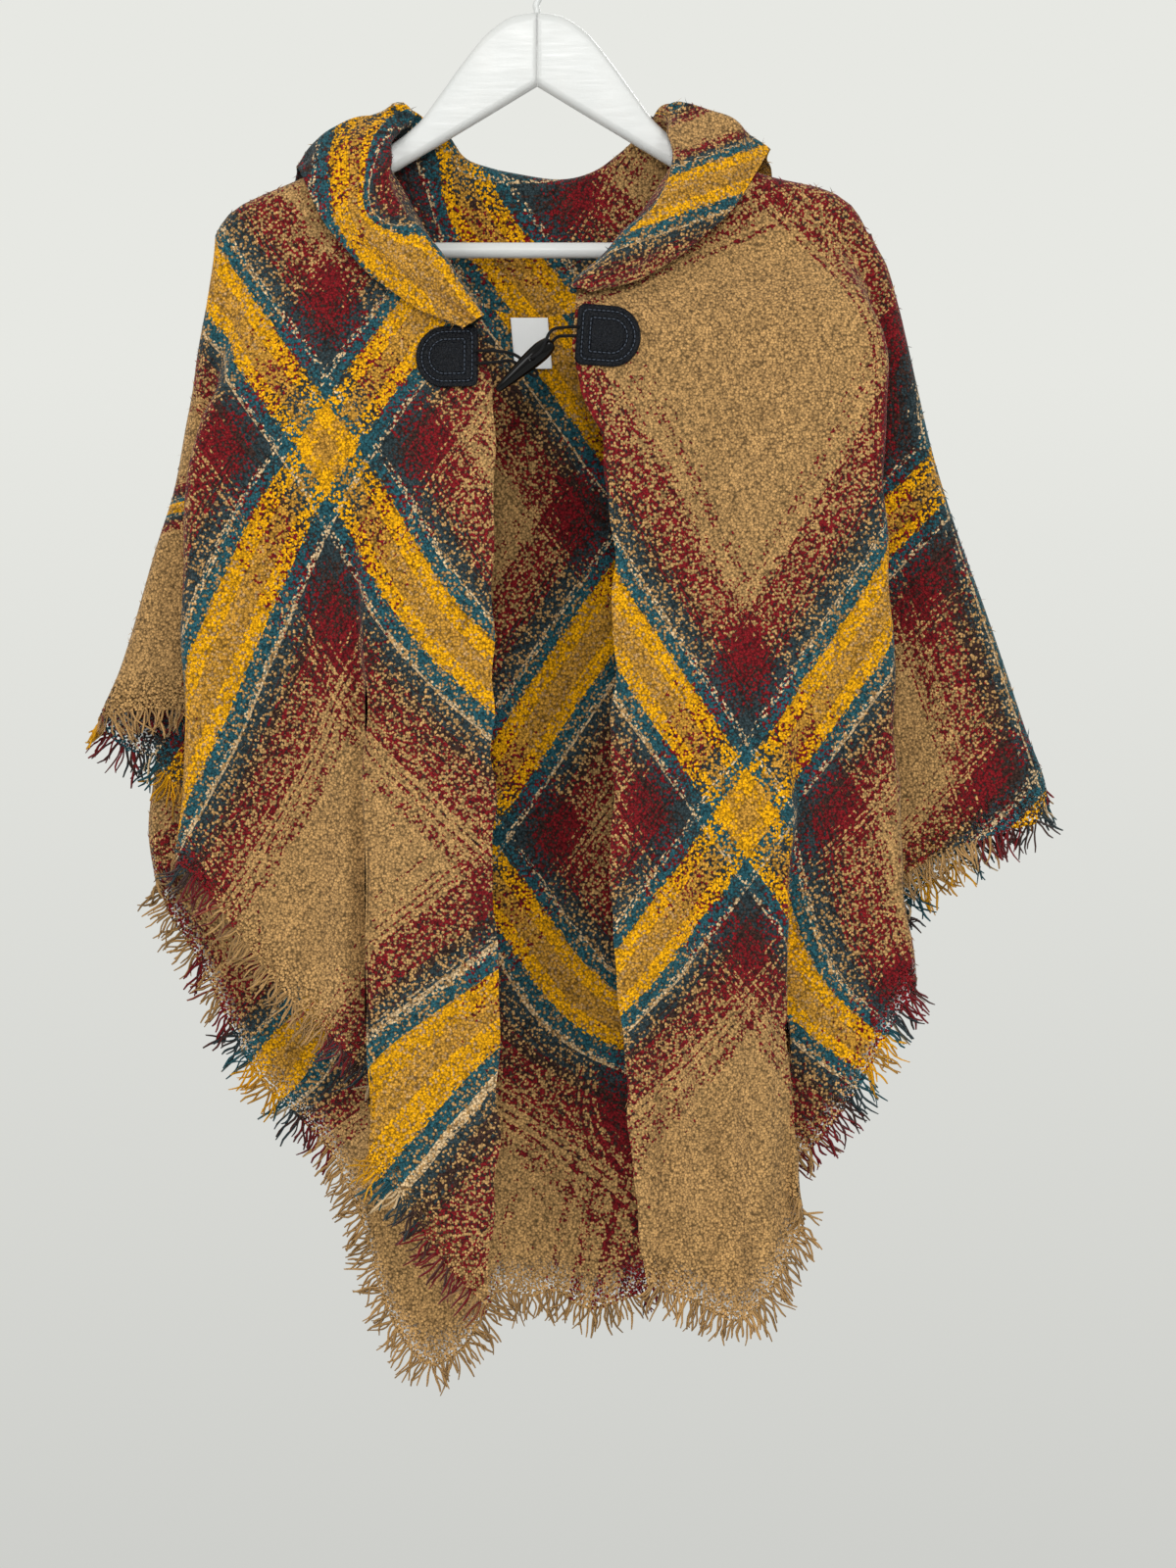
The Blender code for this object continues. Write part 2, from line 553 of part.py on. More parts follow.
front_right = FrontPanel(-1.0, FRONT_RIGHT_ROWS, NECK_RIGHT_ROWS, NECK_SIDE_RIGHT,
                         HEM_RIGHT_ROWS, WAVES_RIGHT)
front_left = FrontPanel(1.0, FRONT_LEFT_ROWS, NECK_LEFT_ROWS, NECK_SIDE_LEFT,
                        HEM_LEFT_ROWS, WAVES_LEFT)
back = BackPanel(front_right, front_left)

ROW_DROPS = (0.0, 0.0015, 0.0055, 0.0115)


def hang(panel, columns, hems, rows):
    """Grid of points: each column hangs from the top edge down to the hem."""
    grid = np.zeros((len(ROW_DROPS) + rows, len(columns), 3))
    for j, c in enumerate(columns):
        top = panel.column_top(c)
        for i, drop in enumerate(ROW_DROPS):
            grid[i, j] = panel.point(c, top - drop)
        start = top - ROW_DROPS[-1]
        for i in range(1, rows + 1):
            t = (i / rows) ** 1.15
            grid[len(ROW_DROPS) + i - 1, j] = panel.point(c, lerp(start, hems[j], t))
    return grid


def grid_normals(grid):
    """Offset of each grid point for one unit of wall, square to the faces about it."""
    face = np.cross(grid[1:, 1:] - grid[:-1, :-1], grid[1:, :-1] - grid[:-1, 1:])
    face /= np.maximum(np.linalg.norm(face, axis=2, keepdims=True), 1e-15)
    total = np.zeros_like(grid)
    total[:-1, :-1] += face
    total[1:, :-1] += face
    total[:-1, 1:] += face
    total[1:, 1:] += face
    count = np.full(grid.shape[:2] + (1,), 4.0)
    count[(0, -1), :] /= 2.0
    count[:, (0, -1)] /= 2.0
    length = np.linalg.norm(total, axis=2, keepdims=True)
    normal = total / np.maximum(length, 1e-12)
    return normal * np.clip(count / np.maximum(length, 1e-12), 1.0, 1.2)


def fold_normals(grid, normals, where):
    """Where a sheet ends on the shoulder or side fold, its normal lies in the picture plane."""
    for i, j, i0, j0, i1, j1 in where:
        run = grid[i1, j1] - grid[i0, j0]
        flat = np.array((-run[2], 0.0, run[0]))
        flat /= np.linalg.norm(flat)
        if flat[2] < 0.0:
            flat = -flat
        normals[i, j] = flat


def new_mesh(name):
    mesh = bpy.data.meshes.new(name)
    thing = bpy.data.objects.new(name, mesh)
    garment.objects.link(thing)
    return thing


def paint(thing, name, rough):
    shade = bpy.data.materials.new(thing.name + "_" + name)
    shade.use_nodes = True
    socket = shade.node_tree.nodes["Principled BSDF"].inputs
    socket["Base Color"].default_value = COLOURS[name]
    socket["Roughness"].default_value = rough
    shade.diffuse_color = COLOURS[name]
    thing.data.materials.append(shade)
    return thing


def wall(name, outer, inner):
    """Closed wall between two grids of the same size, with the same diagonals on both."""
    rows, cols = outer.shape[:2]
    bm = bmesh.new()
    face = [[bm.verts.new(outer[i, j]) for j in range(cols)] for i in range(rows)]
    rear = [[bm.verts.new(inner[i, j]) for j in range(cols)] for i in range(rows)]
    for i in range(rows - 1):
        for j in range(cols - 1):
            for sheet in (face, rear):
                bm.faces.new((sheet[i][j], sheet[i][j + 1], sheet[i + 1][j + 1]))
                bm.faces.new((sheet[i][j], sheet[i + 1][j + 1], sheet[i + 1][j]))
    rim = [(0, j) for j in range(cols)] + [(i, cols - 1) for i in range(1, rows)]
    rim += [(rows - 1, j) for j in range(cols - 2, -1, -1)] + [(i, 0) for i in range(rows - 2, 0, -1)]
    for (i, j), (k, l) in zip(rim, rim[1:] + rim[:1]):
        bm.faces.new((face[i][j], rear[i][j], rear[k][l], face[k][l]))
    bmesh.ops.recalc_face_normals(bm, faces=bm.faces)
    thing = new_mesh(name)
    bm.to_mesh(thing.data)
    bm.free()
    for poly in thing.data.polygons:
        poly.use_smooth = True
    return thing


def loft(name, rings):
    """Closed body through rings of points."""
    bm = bmesh.new()
    loops = [[bm.verts.new(p) for p in ring] for ring in rings]
    count = len(rings[0])
    for low, high in zip(loops[:-1], loops[1:]):
        for k in range(count):
            n = (k + 1) % count
            bm.faces.new((low[k], low[n], high[n], high[k]))
    bm.faces.new(loops[0])
    bm.faces.new(loops[-1])
    bmesh.ops.recalc_face_normals(bm, faces=bm.faces)
    thing = new_mesh(name)
    bm.to_mesh(thing.data)
    bm.free()
    return thing


def spread(start, end, count):
    return [lerp(start, end, k / count) for k in range(count)]


def arcs(start, turns, middle):
    """Column places through one fold: its two turns and the layer between."""
    step = [start + ARC_SHARE * k / turns for k in range(turns)]
    step += spread(start + ARC_SHARE, start + 1.0 - ARC_SHARE, middle)
    step += [start + 1.0 - ARC_SHARE + ARC_SHARE * k / turns for k in range(turns)]
    return step


NECK_COLUMNS = len(NECK_SHARES) - 1
FRONT_DROP_ROWS = 14
BACK_DROP_ROWS = 15


def build_front(name, panel):
    """Front panel as a wall; returns its grids and the places of its columns."""
    neck = [lerp(panel.neck_q[0], panel.neck_side, share) for share in NECK_SHARES]
    columns = [panel.column_at_neck(q) for q in neck]
    columns[0] = 0.0
    columns += spread(columns[-1], 1.0, 2 if columns[-1] > 0.85 else 4)[1:]
    columns += arcs(1.0, 3, 1) + spread(2.0, 3.0, 5) + arcs(3.0, 3, 2) + spread(4.0, 5.0, 4)
    columns += [5.0, 5.0 + 1.0 / 3.0, 5.0 + 2.0 / 3.0, 6.0]
    hems = [soft_line(panel.hem["c"], panel.hem["z"], c) for c in columns]
    grid = hang(panel, columns, hems, FRONT_DROP_ROWS)
    normals = grid_normals(grid)
    if normals[8, 4, 1] > 0.0:
        normals = -normals
    last = len(columns) - 1
    rows = grid.shape[0]
    where = [(0, j, 0, j - 1, 0, min(j + 1, last)) for j in range(NECK_COLUMNS + 1, last + 1)]
    where.append((0, NECK_COLUMNS, 0, NECK_COLUMNS, 0, NECK_COLUMNS + 1))
    where += [(i, last, i - 1, last, min(i + 1, rows - 1), last) for i in range(1, rows)]
    fold_normals(grid, normals, where)
    grid[0, NECK_COLUMNS:, 1] = 0.0
    grid[:, last, 1] = 0.0
    inner = grid - normals * CLOTH
    for sheet in (grid, inner):
        sheet[0, NECK_COLUMNS:, 1] -= 0.5 * SEAM_GAP
        sheet[1:, last, 1] -= 0.5 * SEAM_GAP
    paint(wall(name, grid, inner), "cloth", 0.9)
    panel.keep_face(grid)
    return grid, inner, columns


def build_back(name, panel):
    """Back panel as a wall; returns its grids, its columns and where the neck starts and ends."""
    neck = [-NECK_SIDE_RIGHT * share for share in NECK_SHARES[::-1]]
    neck += [NECK_SIDE_LEFT * share for share in NECK_SHARES[1:]]
    columns = [0.0, 1.0 / 3.0, 2.0 / 3.0] + spread(1.0, 2.0, 3) + arcs(2.0, 3, 2)
    first = panel.column_at_top(-NECK_SIDE_RIGHT)
    columns += spread(3.0, first, 3)
    start = len(columns)
    columns += [panel.column_at_top(x) for x in neck]
    end = len(columns) - 1
    columns += [panel.column_at_top(q) for q in ARM["q"][7:11]]
    columns += [4.0, 4.0 + 1.0 / 3.0, 4.0 + 2.0 / 3.0, 5.0]
    hems = [panel.column_hem(c) for c in columns]
    hems[-1] = soft_line(front_left.hem["c"], front_left.hem["z"], 6.0)
    grid = hang(panel, columns, hems, BACK_DROP_ROWS)
    normals = grid_normals(grid)
    if normals[10, len(columns) // 2, 1] < 0.0:
        normals = -normals
    last = len(columns) - 1
    rows = grid.shape[0]
    side_columns = list(range(1, start + 1)) + list(range(end, last))
    where = [(0, j, 0, j - 1 if j != end else j, 0, j + 1 if j != start else j) for j in side_columns]
    where += [(i, j, max(i - 1, 0), j, min(i + 1, rows - 1), j) for i in range(rows) for j in (0, last)]
    fold_normals(grid, normals, where)
    grid[0, :start + 1, 1] = 0.0
    grid[0, end:, 1] = 0.0
    grid[:, 0, 1] = 0.0
    grid[:, last, 1] = 0.0
    inner = grid - normals * CLOTH
    for sheet in (grid, inner):
        sheet[0, :start + 1, 1] += 0.5 * SEAM_GAP
        sheet[0, end:, 1] += 0.5 * SEAM_GAP
        sheet[1:, 0, 1] += 0.5 * SEAM_GAP
        sheet[1:, last, 1] += 0.5 * SEAM_GAP
    paint(wall(name, grid, inner), "cloth", 0.9)
    return grid, inner, columns, start, end


right_outer, right_inner, right_columns = build_front("front_right", front_right)
left_outer, left_inner, left_columns = build_front("front_left", front_left)
back_outer, back_inner, back_columns, neck_start, neck_end = build_back("back", back)


def spline(points, count):
    """Even points on a smooth curve through a few given ones."""
    pts = [2.0 * points[0] - points[1]] + list(points) + [2.0 * points[-1] - points[-2]]
    fine = []
    for a, b, c, d in zip(pts[:-3], pts[1:-2], pts[2:-1], pts[3:]):
        for t in np.linspace(0.0, 1.0, 12, endpoint=False):
            fine.append(0.5 * (2.0 * b + (c - a) * t + (2.0 * a - 5.0 * b + 4.0 * c - d) * t * t
                               + (3.0 * b - a - 3.0 * c + d) * t ** 3))
    fine.append(points[-1])
    return even(np.array(fine), count)


def even(fine, count):
    """Points at equal distances along a fine line."""
    run = np.concatenate(([0.0], np.cumsum(np.linalg.norm(np.diff(fine, axis=0), axis=1))))
    at = np.linspace(0.0, run[-1], count + 1)
    return np.stack([np.interp(at, run, fine[:, k]) for k in range(3)], axis=1)


HOOD = table(HOOD_NAMES, HOOD_ROWS)
HOOD_FOOT = 0.0030      # straight stretch of the hood above the neck seam
HOOD_SMOOTHING = 1      # rounds of evening out between neighbouring sections
HOOD_ROLL = 0.0090      # radius of the roll at the top
HOOD_SHOULDER_IN = 0.78  # way of the cloth where it leaves the shoulder seam: inwards and up
HOOD_SHOULDER_UP = 0.62
HOOD_ROLL_ROWS = (2, 13)  # rows of a section through its stand and roll
STAND_STOPS = (0.0, 0.36, 0.72, 1.0)
ROLL_STOPS = (0.2, 0.4, 0.6, 0.8)
FALL_STOPS = (0.0, 0.12, 0.36, 0.68, 1.0)
TURN_STOPS = (0.25, 0.5, 0.75, 1.0)
RISE_STOPS = (0.5, 1.0)


def run_length(line):
    """Distance along a line of points, from its start to each of them."""
    return np.concatenate(([0.0], np.cumsum(np.linalg.norm(np.diff(line, axis=0), axis=1))))


def along_line(line, at):
    """Points at given distances along a line."""
    run = run_length(line)
    return np.stack([np.interp(at, run, line[:, k]) for k in range(3)], axis=1)


def hood_section(place, foot, lead):
    """One section of the hood: up from the neck seam, over the roll, down outside, and up again."""
    crest = np.array([soft_line(HOOD["place"], HOOD["crest_" + k], place) for k in "xyz"])
    edge = np.array([soft_line(HOOD["place"], HOOD["edge_" + k], place) for k in "xyz"])
    puff = soft_line(HOOD["place"], HOOD["puff"], place)
    turn = math.radians(soft_line(HOOD["place"], HOOD["turn"], place))
    back_up = soft_line(HOOD["place"], HOOD["back_up"], place)
    up = crest - foot
    height = np.linalg.norm(up)
    up /= height
    down = edge - crest
    reach = np.linalg.norm(down)
    down /= reach
    angle = math.acos(np.dot(up, down))
    side = down - up * np.dot(up, down)
    side /= np.linalg.norm(side)
    radius = min(HOOD_ROLL, 0.3 * height, 0.3 * reach)
    first = crest - radius * (math.sin(0.5 * angle) * up + (1.0 - math.cos(0.5 * angle)) * side)
    roll = [first + radius * (math.sin(angle * t) * up + (1.0 - math.cos(angle * t)) * side)
            for t in ROLL_STOPS + (1.0,)]
    stand = spline([foot, foot + lead * 0.10 * height, lerp(foot, first, 0.6), first], 40)
    facing = np.array((0.0, 1.0 - 2.0 * abs(place), 0.35 + 0.65 * (1.0 - abs(1.0 - 2.0 * abs(place)))))
    facing -= down * np.dot(facing, down)
    facing /= np.linalg.norm(facing)
    fall = spline([roll[-1], lerp(roll[-1], edge, 0.5) + facing * puff, edge], 40)
    run = fall[-1] - fall[-2]
    run /= np.linalg.norm(run)
    out = np.array((0.3 * edge[0], edge[1] + 0.06, 0.0))
    out -= run * np.dot(out, run)
    out /= np.linalg.norm(out)
    turned = [edge + POUCH_RADIUS * (run * math.sin(turn * t) + out * (1.0 - math.cos(turn * t)))
              for t in np.linspace(0.0, 1.0, 17)[1:]]
    heading = run * math.cos(turn) + out * math.sin(turn)
    risen = [turned[-1] + heading * back_up]
    line = np.concatenate((fall, np.array(turned), np.array(risen)))
    lengths = run_length(line)
    fallen, turned_end, end = lengths[len(fall) - 1], lengths[len(fall) + 15], lengths[-1]
    shaped = [fallen * t for t in FALL_STOPS]
    shaped += [lerp(fallen, turned_end, t) for t in TURN_STOPS]
    shaped += [lerp(turned_end, end, t) for t in RISE_STOPS]
    plain = end * np.linspace(0.0, 1.0, len(shaped))
    pouch = ease(turn / math.radians(90.0))
    stops = lerp(plain, np.array(shaped), pouch)
    stand_at = run_length(stand)[-1] * np.array(STAND_STOPS)
    return np.concatenate((along_line(stand, stand_at), np.array(roll[:-1]), along_line(line, stops)))


def neck_ring():
    """Neck edge of the three body panels: place round the neck, inner, outer and next inner point."""
    ring = []
    for j in range(NECK_COLUMNS):
        ring.append((-1.0 + 0.5 * NECK_SHARES[j], right_inner[0, j], right_outer[0, j], right_inner[1, j]))
    for j in range(neck_start, neck_end + 1):
        k = j - neck_start - NECK_COLUMNS
        place = math.copysign(0.5 * NECK_SHARES[abs(k)], k)
        ring.append((place, back_inner[0, j], back_outer[0, j], back_inner[1, j]))
    for j in range(NECK_COLUMNS - 1, -1, -1):
        ring.append((1.0 - 0.5 * NECK_SHARES[j], left_inner[0, j], left_outer[0, j], left_inner[1, j]))
    return ring


def build_hood():
    """Hood lying down, its foot edge to edge with the cloth round the neck."""
    ring = neck_ring()
    last = len(ring) - 1
    sections = []
    feet = []
    for i, (place, edge, face, below) in enumerate(ring):
        tangent = ring[min(i + 1, last)][1] - ring[max(i - 1, 0)][1]
        lead = np.cross(tangent, face - edge)
        lead *= np.sign(np.dot(lead, edge - below)) / np.linalg.norm(lead)
        if abs(abs(place) - 0.5) < 1e-6:
            lead = np.array((-math.copysign(HOOD_SHOULDER_IN, place), 0.0, HOOD_SHOULDER_UP))
            edge = edge * np.array((1.0, 0.0, 1.0))
            face = face * np.array((1.0, 0.0, 1.0))
        foot = edge + lead * HOOD_GAP
        sections.append(np.vstack((foot, hood_section(place, foot + lead * HOOD_FOOT, lead))))
        feet.append(face - edge)
    grid = np.stack(sections, axis=1)
    for _ in range(HOOD_SMOOTHING):
        grid[2:, 1:-1] = 0.5 * grid[2:, 1:-1] + 0.25 * (grid[2:, :-2] + grid[2:, 2:])
    normals = grid_normals(grid)
    if normals[12, grid.shape[1] // 2, 1] < 0.0:
        normals = -normals
    inner = grid - normals * CLOTH
    for j, thick in enumerate(feet):
        inner[:2, j] = grid[:2, j] + thick
        square = np.cross(grid[4, j] - grid[1, j], grid[12, j] - grid[9, j])
        for i in range(*HOOD_ROLL_ROWS):
            within = np.cross(square, grid[i + 1, j] - grid[i - 1, j])
            within *= CLOTH / np.linalg.norm(within)
            inner[i, j] = lerp(grid[i, j] + within, inner[i, j], ease((i - 9) / 4.0))
    paint(wall("hood", grid, inner), "cloth", 0.9)


build_hood()


def fringe(name, outer, inner):
    """Frayed yarns below a hem: a thin strip with a row of tapered strands."""
    edge = 0.5 * (outer[-1] + inner[-1])
    above = 0.5 * (outer[-2] + inner[-2])
    across = outer[-1] - inner[-1]
    across /= np.linalg.norm(across, axis=1, keepdims=True)
    run = np.concatenate(([0.0], np.cumsum(np.linalg.norm(np.diff(edge, axis=0), axis=1))))
    along = np.gradient(edge, axis=0)
    along /= np.linalg.norm(along, axis=1, keepdims=True)
    fall = np.cross(along, across)
    fall *= np.sign(np.sum(fall * (edge - above), axis=1, keepdims=True))
    fall /= np.linalg.norm(fall, axis=1, keepdims=True)
    fall = 0.75 * fall + np.array((0.0, 0.0, -0.25))
    fall /= np.linalg.norm(fall, axis=1, keepdims=True)

    def sample(line, s):
        return np.array([np.interp(s, run, line[:, k]) for k in range(3)])

    count = int((run[-1] - 2.0 * FRINGE_MARGIN) / FRINGE_PITCH)
    pitch = (run[-1] - 2.0 * FRINGE_MARGIN) / count
    stops = [(FRINGE_TRIM, False)]
    for k in range(count):
        start = FRINGE_MARGIN + (k + 0.5) * pitch - 0.5 * FRINGE_ROOT
        stops += [(start, True), (start + FRINGE_ROOT, False)]
    stops.append((run[-1] - FRINGE_TRIM, False))
    turns = [(s, False) for s in run if min(abs(s - t) for t, _ in stops) > 0.0006
             and not any(t < s < t + FRINGE_ROOT for t, root in stops if root)
             and FRINGE_TRIM < s < run[-1] - FRINGE_TRIM]
    stops = sorted(stops + turns)
    bm = bmesh.new()
    rings = []
    for s, _ in stops:
        point = sample(edge, s)
        way = sample(fall, s)
        side = sample(across, s)
        side -= way * np.dot(side, way)
        side /= np.linalg.norm(side)
        low = point + way * (SEAM_GAP + FRINGE_STRIP)
        rings.append([bm.verts.new(point + way * SEAM_GAP), bm.verts.new(low + side * FRINGE_HALF),
                      bm.verts.new(low - side * FRINGE_HALF)])
    for k, (low, high) in enumerate(zip(rings[:-1], rings[1:])):
        bm.faces.new((low[0], low[1], high[1], high[0]))
        bm.faces.new((low[2], low[0], high[0], high[2]))
        if not stops[k][1]:
            bm.faces.new((low[1], low[2], high[2], high[1]))
            continue
        middle = 0.5 * (stops[k][0] + stops[k + 1][0])
        sway = FRINGE_SWAY * math.sin(2.7 * k) * sample(along, middle)
        way = sample(fall, middle) + sway
        reach = FRINGE_LENGTH * (0.86 + 0.14 * math.sin(1.9 * k))
        tip = bm.verts.new(sample(edge, middle) + way / np.linalg.norm(way) * reach)
        for a, b in ((low[1], low[2]), (low[2], high[2]), (high[2], high[1]), (high[1], low[1])):
            bm.faces.new((a, b, tip))
    bm.faces.new(rings[0])
    bm.faces.new(rings[-1])
    bmesh.ops.recalc_face_normals(bm, faces=bm.faces)
    thing = new_mesh(name)
    bm.to_mesh(thing.data)
    bm.free()
    paint(thing, "fringe", 0.9)


# Fringed stretches of the hems, between the turns of the folds: panel, first and last column place.
FRINGE_ROWS = (
    ("fringe_right_inner", "right", 0.0, 1.0),
    ("fringe_right_main", "right", 2.0, 3.0),
    ("fringe_right_under", "right", 3.4, 3.6),
    ("fringe_right_flap", "right", 4.0, 5.1),
    ("fringe_left_inner", "left", 0.0, 1.0),
    ("fringe_left_main", "left", 2.0, 3.0),
    ("fringe_left_under", "left", 3.4, 3.6),
    ("fringe_left_flap", "left", 4.0, 5.1),
    ("fringe_back_flap", "back", 0.3, 1.7),
    ("fringe_back_under", "back", 2.4, 2.6),
    ("fringe_back_main", "back", 3.0, 5.0),
)
HEMS = {
    "right": (right_outer, right_inner, right_columns),
    "left": (left_outer, left_inner, left_columns),
    "back": (back_outer, back_inner, back_columns),
}

for fringe_name, panel_name, first, last in FRINGE_ROWS:
    face, rear, places = HEMS[panel_name]
    stretch = [j for j, c in enumerate(places) if first - 1e-6 <= c <= last + 1e-6]
    fringe(fringe_name, face[:, stretch], rear[:, stretch])


def d_outline(width, height, corner):
    """D shape: straight side at u = 0, round side at u = width."""
    half = 0.5 * height
    line = [(0.0, -half + corner), (corner * 0.4, -half + corner * 0.3), (corner * 1.4, -half)]
    for k in range(9):
        angle = math.pi * (k / 8.0 - 0.5)
        line.append((width - half * 0.92 + half * 0.92 * math.cos(angle), half * math.sin(angle)))
    line += [(corner * 1.4, half), (corner * 0.4, half - corner * 0.3), (0.0, half - corner)]
    return line


# Leather patches: corner of the straight side, size, tilt in degrees, and how far about each point
# the patch feels for the foremost cloth.
PATCH_SCALES = (0.2, 0.5, 0.8, 1.0)
PATCH_CORNER = 0.0040
PATCH_RIGHT = (0.0395, -0.3035, 0.0425, 0.0420, 0.0, 0.0012)
PATCH_LEFT = (0.0270, -0.2895, 0.0435, 0.0415, -4.0, 0.0040)


def patch(name, panel, sizes):
    """Leather patch lying on the points of a front panel, moved out."""
    q0, z0, width, height, tilt, feel = sizes
    bm = bmesh.new()
    rings = []
    steps = [(scale, 0.0) for scale in PATCH_SCALES]
    steps += [(1.0, LEATHER * 0.7)] + [(scale * 0.96, LEATHER) for scale in PATCH_SCALES[::-1]]
    for scale, depth in steps:
        ring = []
        for u, v in d_outline(width, height, PATCH_CORNER):
            u = 0.5 * width + (u - 0.5 * width) * scale
            v *= scale
            angle = math.radians(tilt)
            q = q0 + u * math.cos(angle) - v * math.sin(angle)
            z = z0 + u * math.sin(angle) + v * math.cos(angle)
            y = panel.front_y(q, z, feel) - PATCH_LIFT - depth
            ring.append(bm.verts.new((panel.side * q, y, z)))
        rings.append(ring)
    count = len(rings[0])
    for low, high in zip(rings[:-1], rings[1:]):
        for k in range(count):
            n = (k + 1) % count
            bm.faces.new((low[k], low[n], high[n], high[k]))
    bm.faces.new(rings[0])
    bm.faces.new(rings[-1])
    bmesh.ops.recalc_face_normals(bm, faces=bm.faces)
    thing = new_mesh(name)
    bm.to_mesh(thing.data)
    bm.free()
    return paint(thing, "leather", 0.55)


patch("patch_right", front_right, PATCH_RIGHT)
patch("patch_left", front_left, PATCH_LEFT)


def tube(name, points, radius, colour):
    """Round cord or wire along a line of points."""
    line = bpy.data.curves.new(name, "CURVE")
    line.dimensions = "3D"
    line.bevel_depth = radius
    line.bevel_resolution = 2
    line.use_fill_caps = True
    run = line.splines.new("POLY")
    run.points.add(len(points) - 1)
    for place, p in zip(run.points, points):
        place.co = (p[0], p[1], p[2], 1.0)
    thing = bpy.data.objects.new(name, line)
    garment.objects.link(thing)
    return paint(thing, colour, 0.5)


# Toggle: its middle line from the thick end to the point, in front of the opening.
TOGGLE_HEAD = np.array((0.0110, -0.0745, -0.2955))
TOGGLE_POINT = np.array((-0.0265, -0.0700, -0.3285))
TOGGLE_SAG = 0.0015
TOGGLE_HOLE = 0.36


def toggle_axis(t):
    return lerp(TOGGLE_HEAD, TOGGLE_POINT, t) + np.array((0.0, -1.0, 0.0)) * TOGGLE_SAG * 4.0 * t * (1.0 - t)


def build_toggle():
    way = TOGGLE_POINT - TOGGLE_HEAD
    way /= np.linalg.norm(way)
    side = np.cross(way, np.array((0.0, 1.0, 0.0)))
    side /= np.linalg.norm(side)
    up = np.cross(side, way)
    rings = []
    for reach, radius in TOGGLE_ROWS:
        centre = toggle_axis(reach / TOGGLE_ROWS[-1][0])
        rings.append([centre + radius * (math.cos(a) * side + math.sin(a) * up)
                      for a in np.linspace(0.0, 2.0 * math.pi, 14, endpoint=False)])
    thing = paint(loft("toggle", rings), "horn", 0.2)
    for poly in thing.data.polygons:
        poly.use_smooth = len(poly.vertices) == 4
    return thing


def cylinder_cutter(name, centre, radius, length, rotation):
    bm = bmesh.new()
    bmesh.ops.create_cone(bm, cap_ends=True, segments=20, radius1=radius, radius2=radius, depth=length)
    mesh = bpy.data.meshes.new(name)
    bm.to_mesh(mesh)
    bm.free()
    thing = bpy.data.objects.new(name, mesh)
    thing.location = centre
    thing.rotation_euler = rotation
    thing.hide_render = True
    thing.display_type = "WIRE"
    cutters.objects.link(thing)
    return thing


def cut(thing, cutter):
    mod = thing.modifiers.new(cutter.name, "BOOLEAN")
    mod.operation = "DIFFERENCE"
    mod.solver = "EXACT"
    mod.object = cutter


toggle = build_toggle()
hole = toggle_axis(TOGGLE_HOLE)
cut(toggle, cylinder_cutter("toggle_hole", hole, CORD_RADIUS + 0.0004, 0.03, (math.pi / 2.0, 0.0, 0.0)))

HOLE_CLEAR = 0.0092     # how far the cord stands out of the toggle's hole before it turns
CORD_FEEL = 0.0030
hole_front = hole[1] - HOLE_CLEAR
hole_back = hole[1] + HOLE_CLEAR
stem_y = front_left.front_y(PATCH_LEFT[0], -0.2880, CORD_FEEL) - CORD_RADIUS - CORD_GAP
tube("stem_cord", [
    (PATCH_LEFT[0] - CORD_SEAT, stem_y, -0.2850), (0.0190, -0.0765, -0.2865), (0.0100, -0.0835, -0.2895),
    (hole[0] + 0.0060, hole_front, hole[2] + 0.0050), (hole[0], hole_front, hole[2]),
    (hole[0], hole_back, hole[2]), (hole[0] + 0.0060, hole_back + 0.0005, hole[2] + 0.0035),
    (0.0130, -0.0600, -0.2925), (0.0195, stem_y, -0.2912),
    (PATCH_LEFT[0] - CORD_GAP, stem_y, -0.2910),
], CORD_RADIUS, "cord")
loop_y = front_right.front_y(PATCH_RIGHT[0], -0.3045, CORD_FEEL) - CORD_RADIUS - CORD_GAP
tube("loop_cord", [
    (CORD_SEAT - PATCH_RIGHT[0], loop_y, -0.3000), (-0.0270, -0.0585, -0.3010), (-0.0160, -0.0580, -0.3030),
    (-0.0080, -0.0580, -0.3080), (-0.0010, -0.0590, -0.3140), (0.0006, -0.0595, -0.3160),
    (-0.0004, -0.0598, -0.3180), (-0.0030, -0.0596, -0.3172), (-0.0110, -0.0585, -0.3110),
    (-0.0180, -0.0585, -0.3075), (-0.0270, -0.0590, -0.3085),
    (CORD_SEAT - PATCH_RIGHT[0], loop_y, -0.3090),
], CORD_RADIUS, "cord")


LABEL_LEFT = -0.0188
LABEL_RIGHT = 0.0070
LABEL_TOP = -0.2712
LABEL_DROP = 0.0350
LABEL_ROWS = 6
LABEL_COLS = 4
LABEL_LIFT = 0.0022     # how far the loose lower end stands off the cloth
LABEL_SKEW = 0.0030     # sideways lean of the lower end


def build_label():
    """Care label hanging from the back neck seam, on the inside of the back."""
    outer = np.zeros((LABEL_ROWS, LABEL_COLS, 3))
    for i in range(LABEL_ROWS):
        down = i / (LABEL_ROWS - 1.0)
        for j in range(LABEL_COLS):
            x = lerp(LABEL_LEFT, LABEL_RIGHT, j / (LABEL_COLS - 1.0)) + LABEL_SKEW * down
            z = LABEL_TOP - LABEL_DROP * down
            c = back.column_at_top(x)
            y = min(back.point(c + step, z)[1] for step in (-0.01, 0.0, 0.01))
            outer[i, j] = (x, y - CLOTH - SEAM_GAP - LABEL_THICK - LABEL_LIFT * down ** 1.5, z)
    inner = outer + np.array((0.0, -LABEL_THICK, 0.0))
    return paint(wall("care_label", outer, inner), "label", 0.7)


build_label()


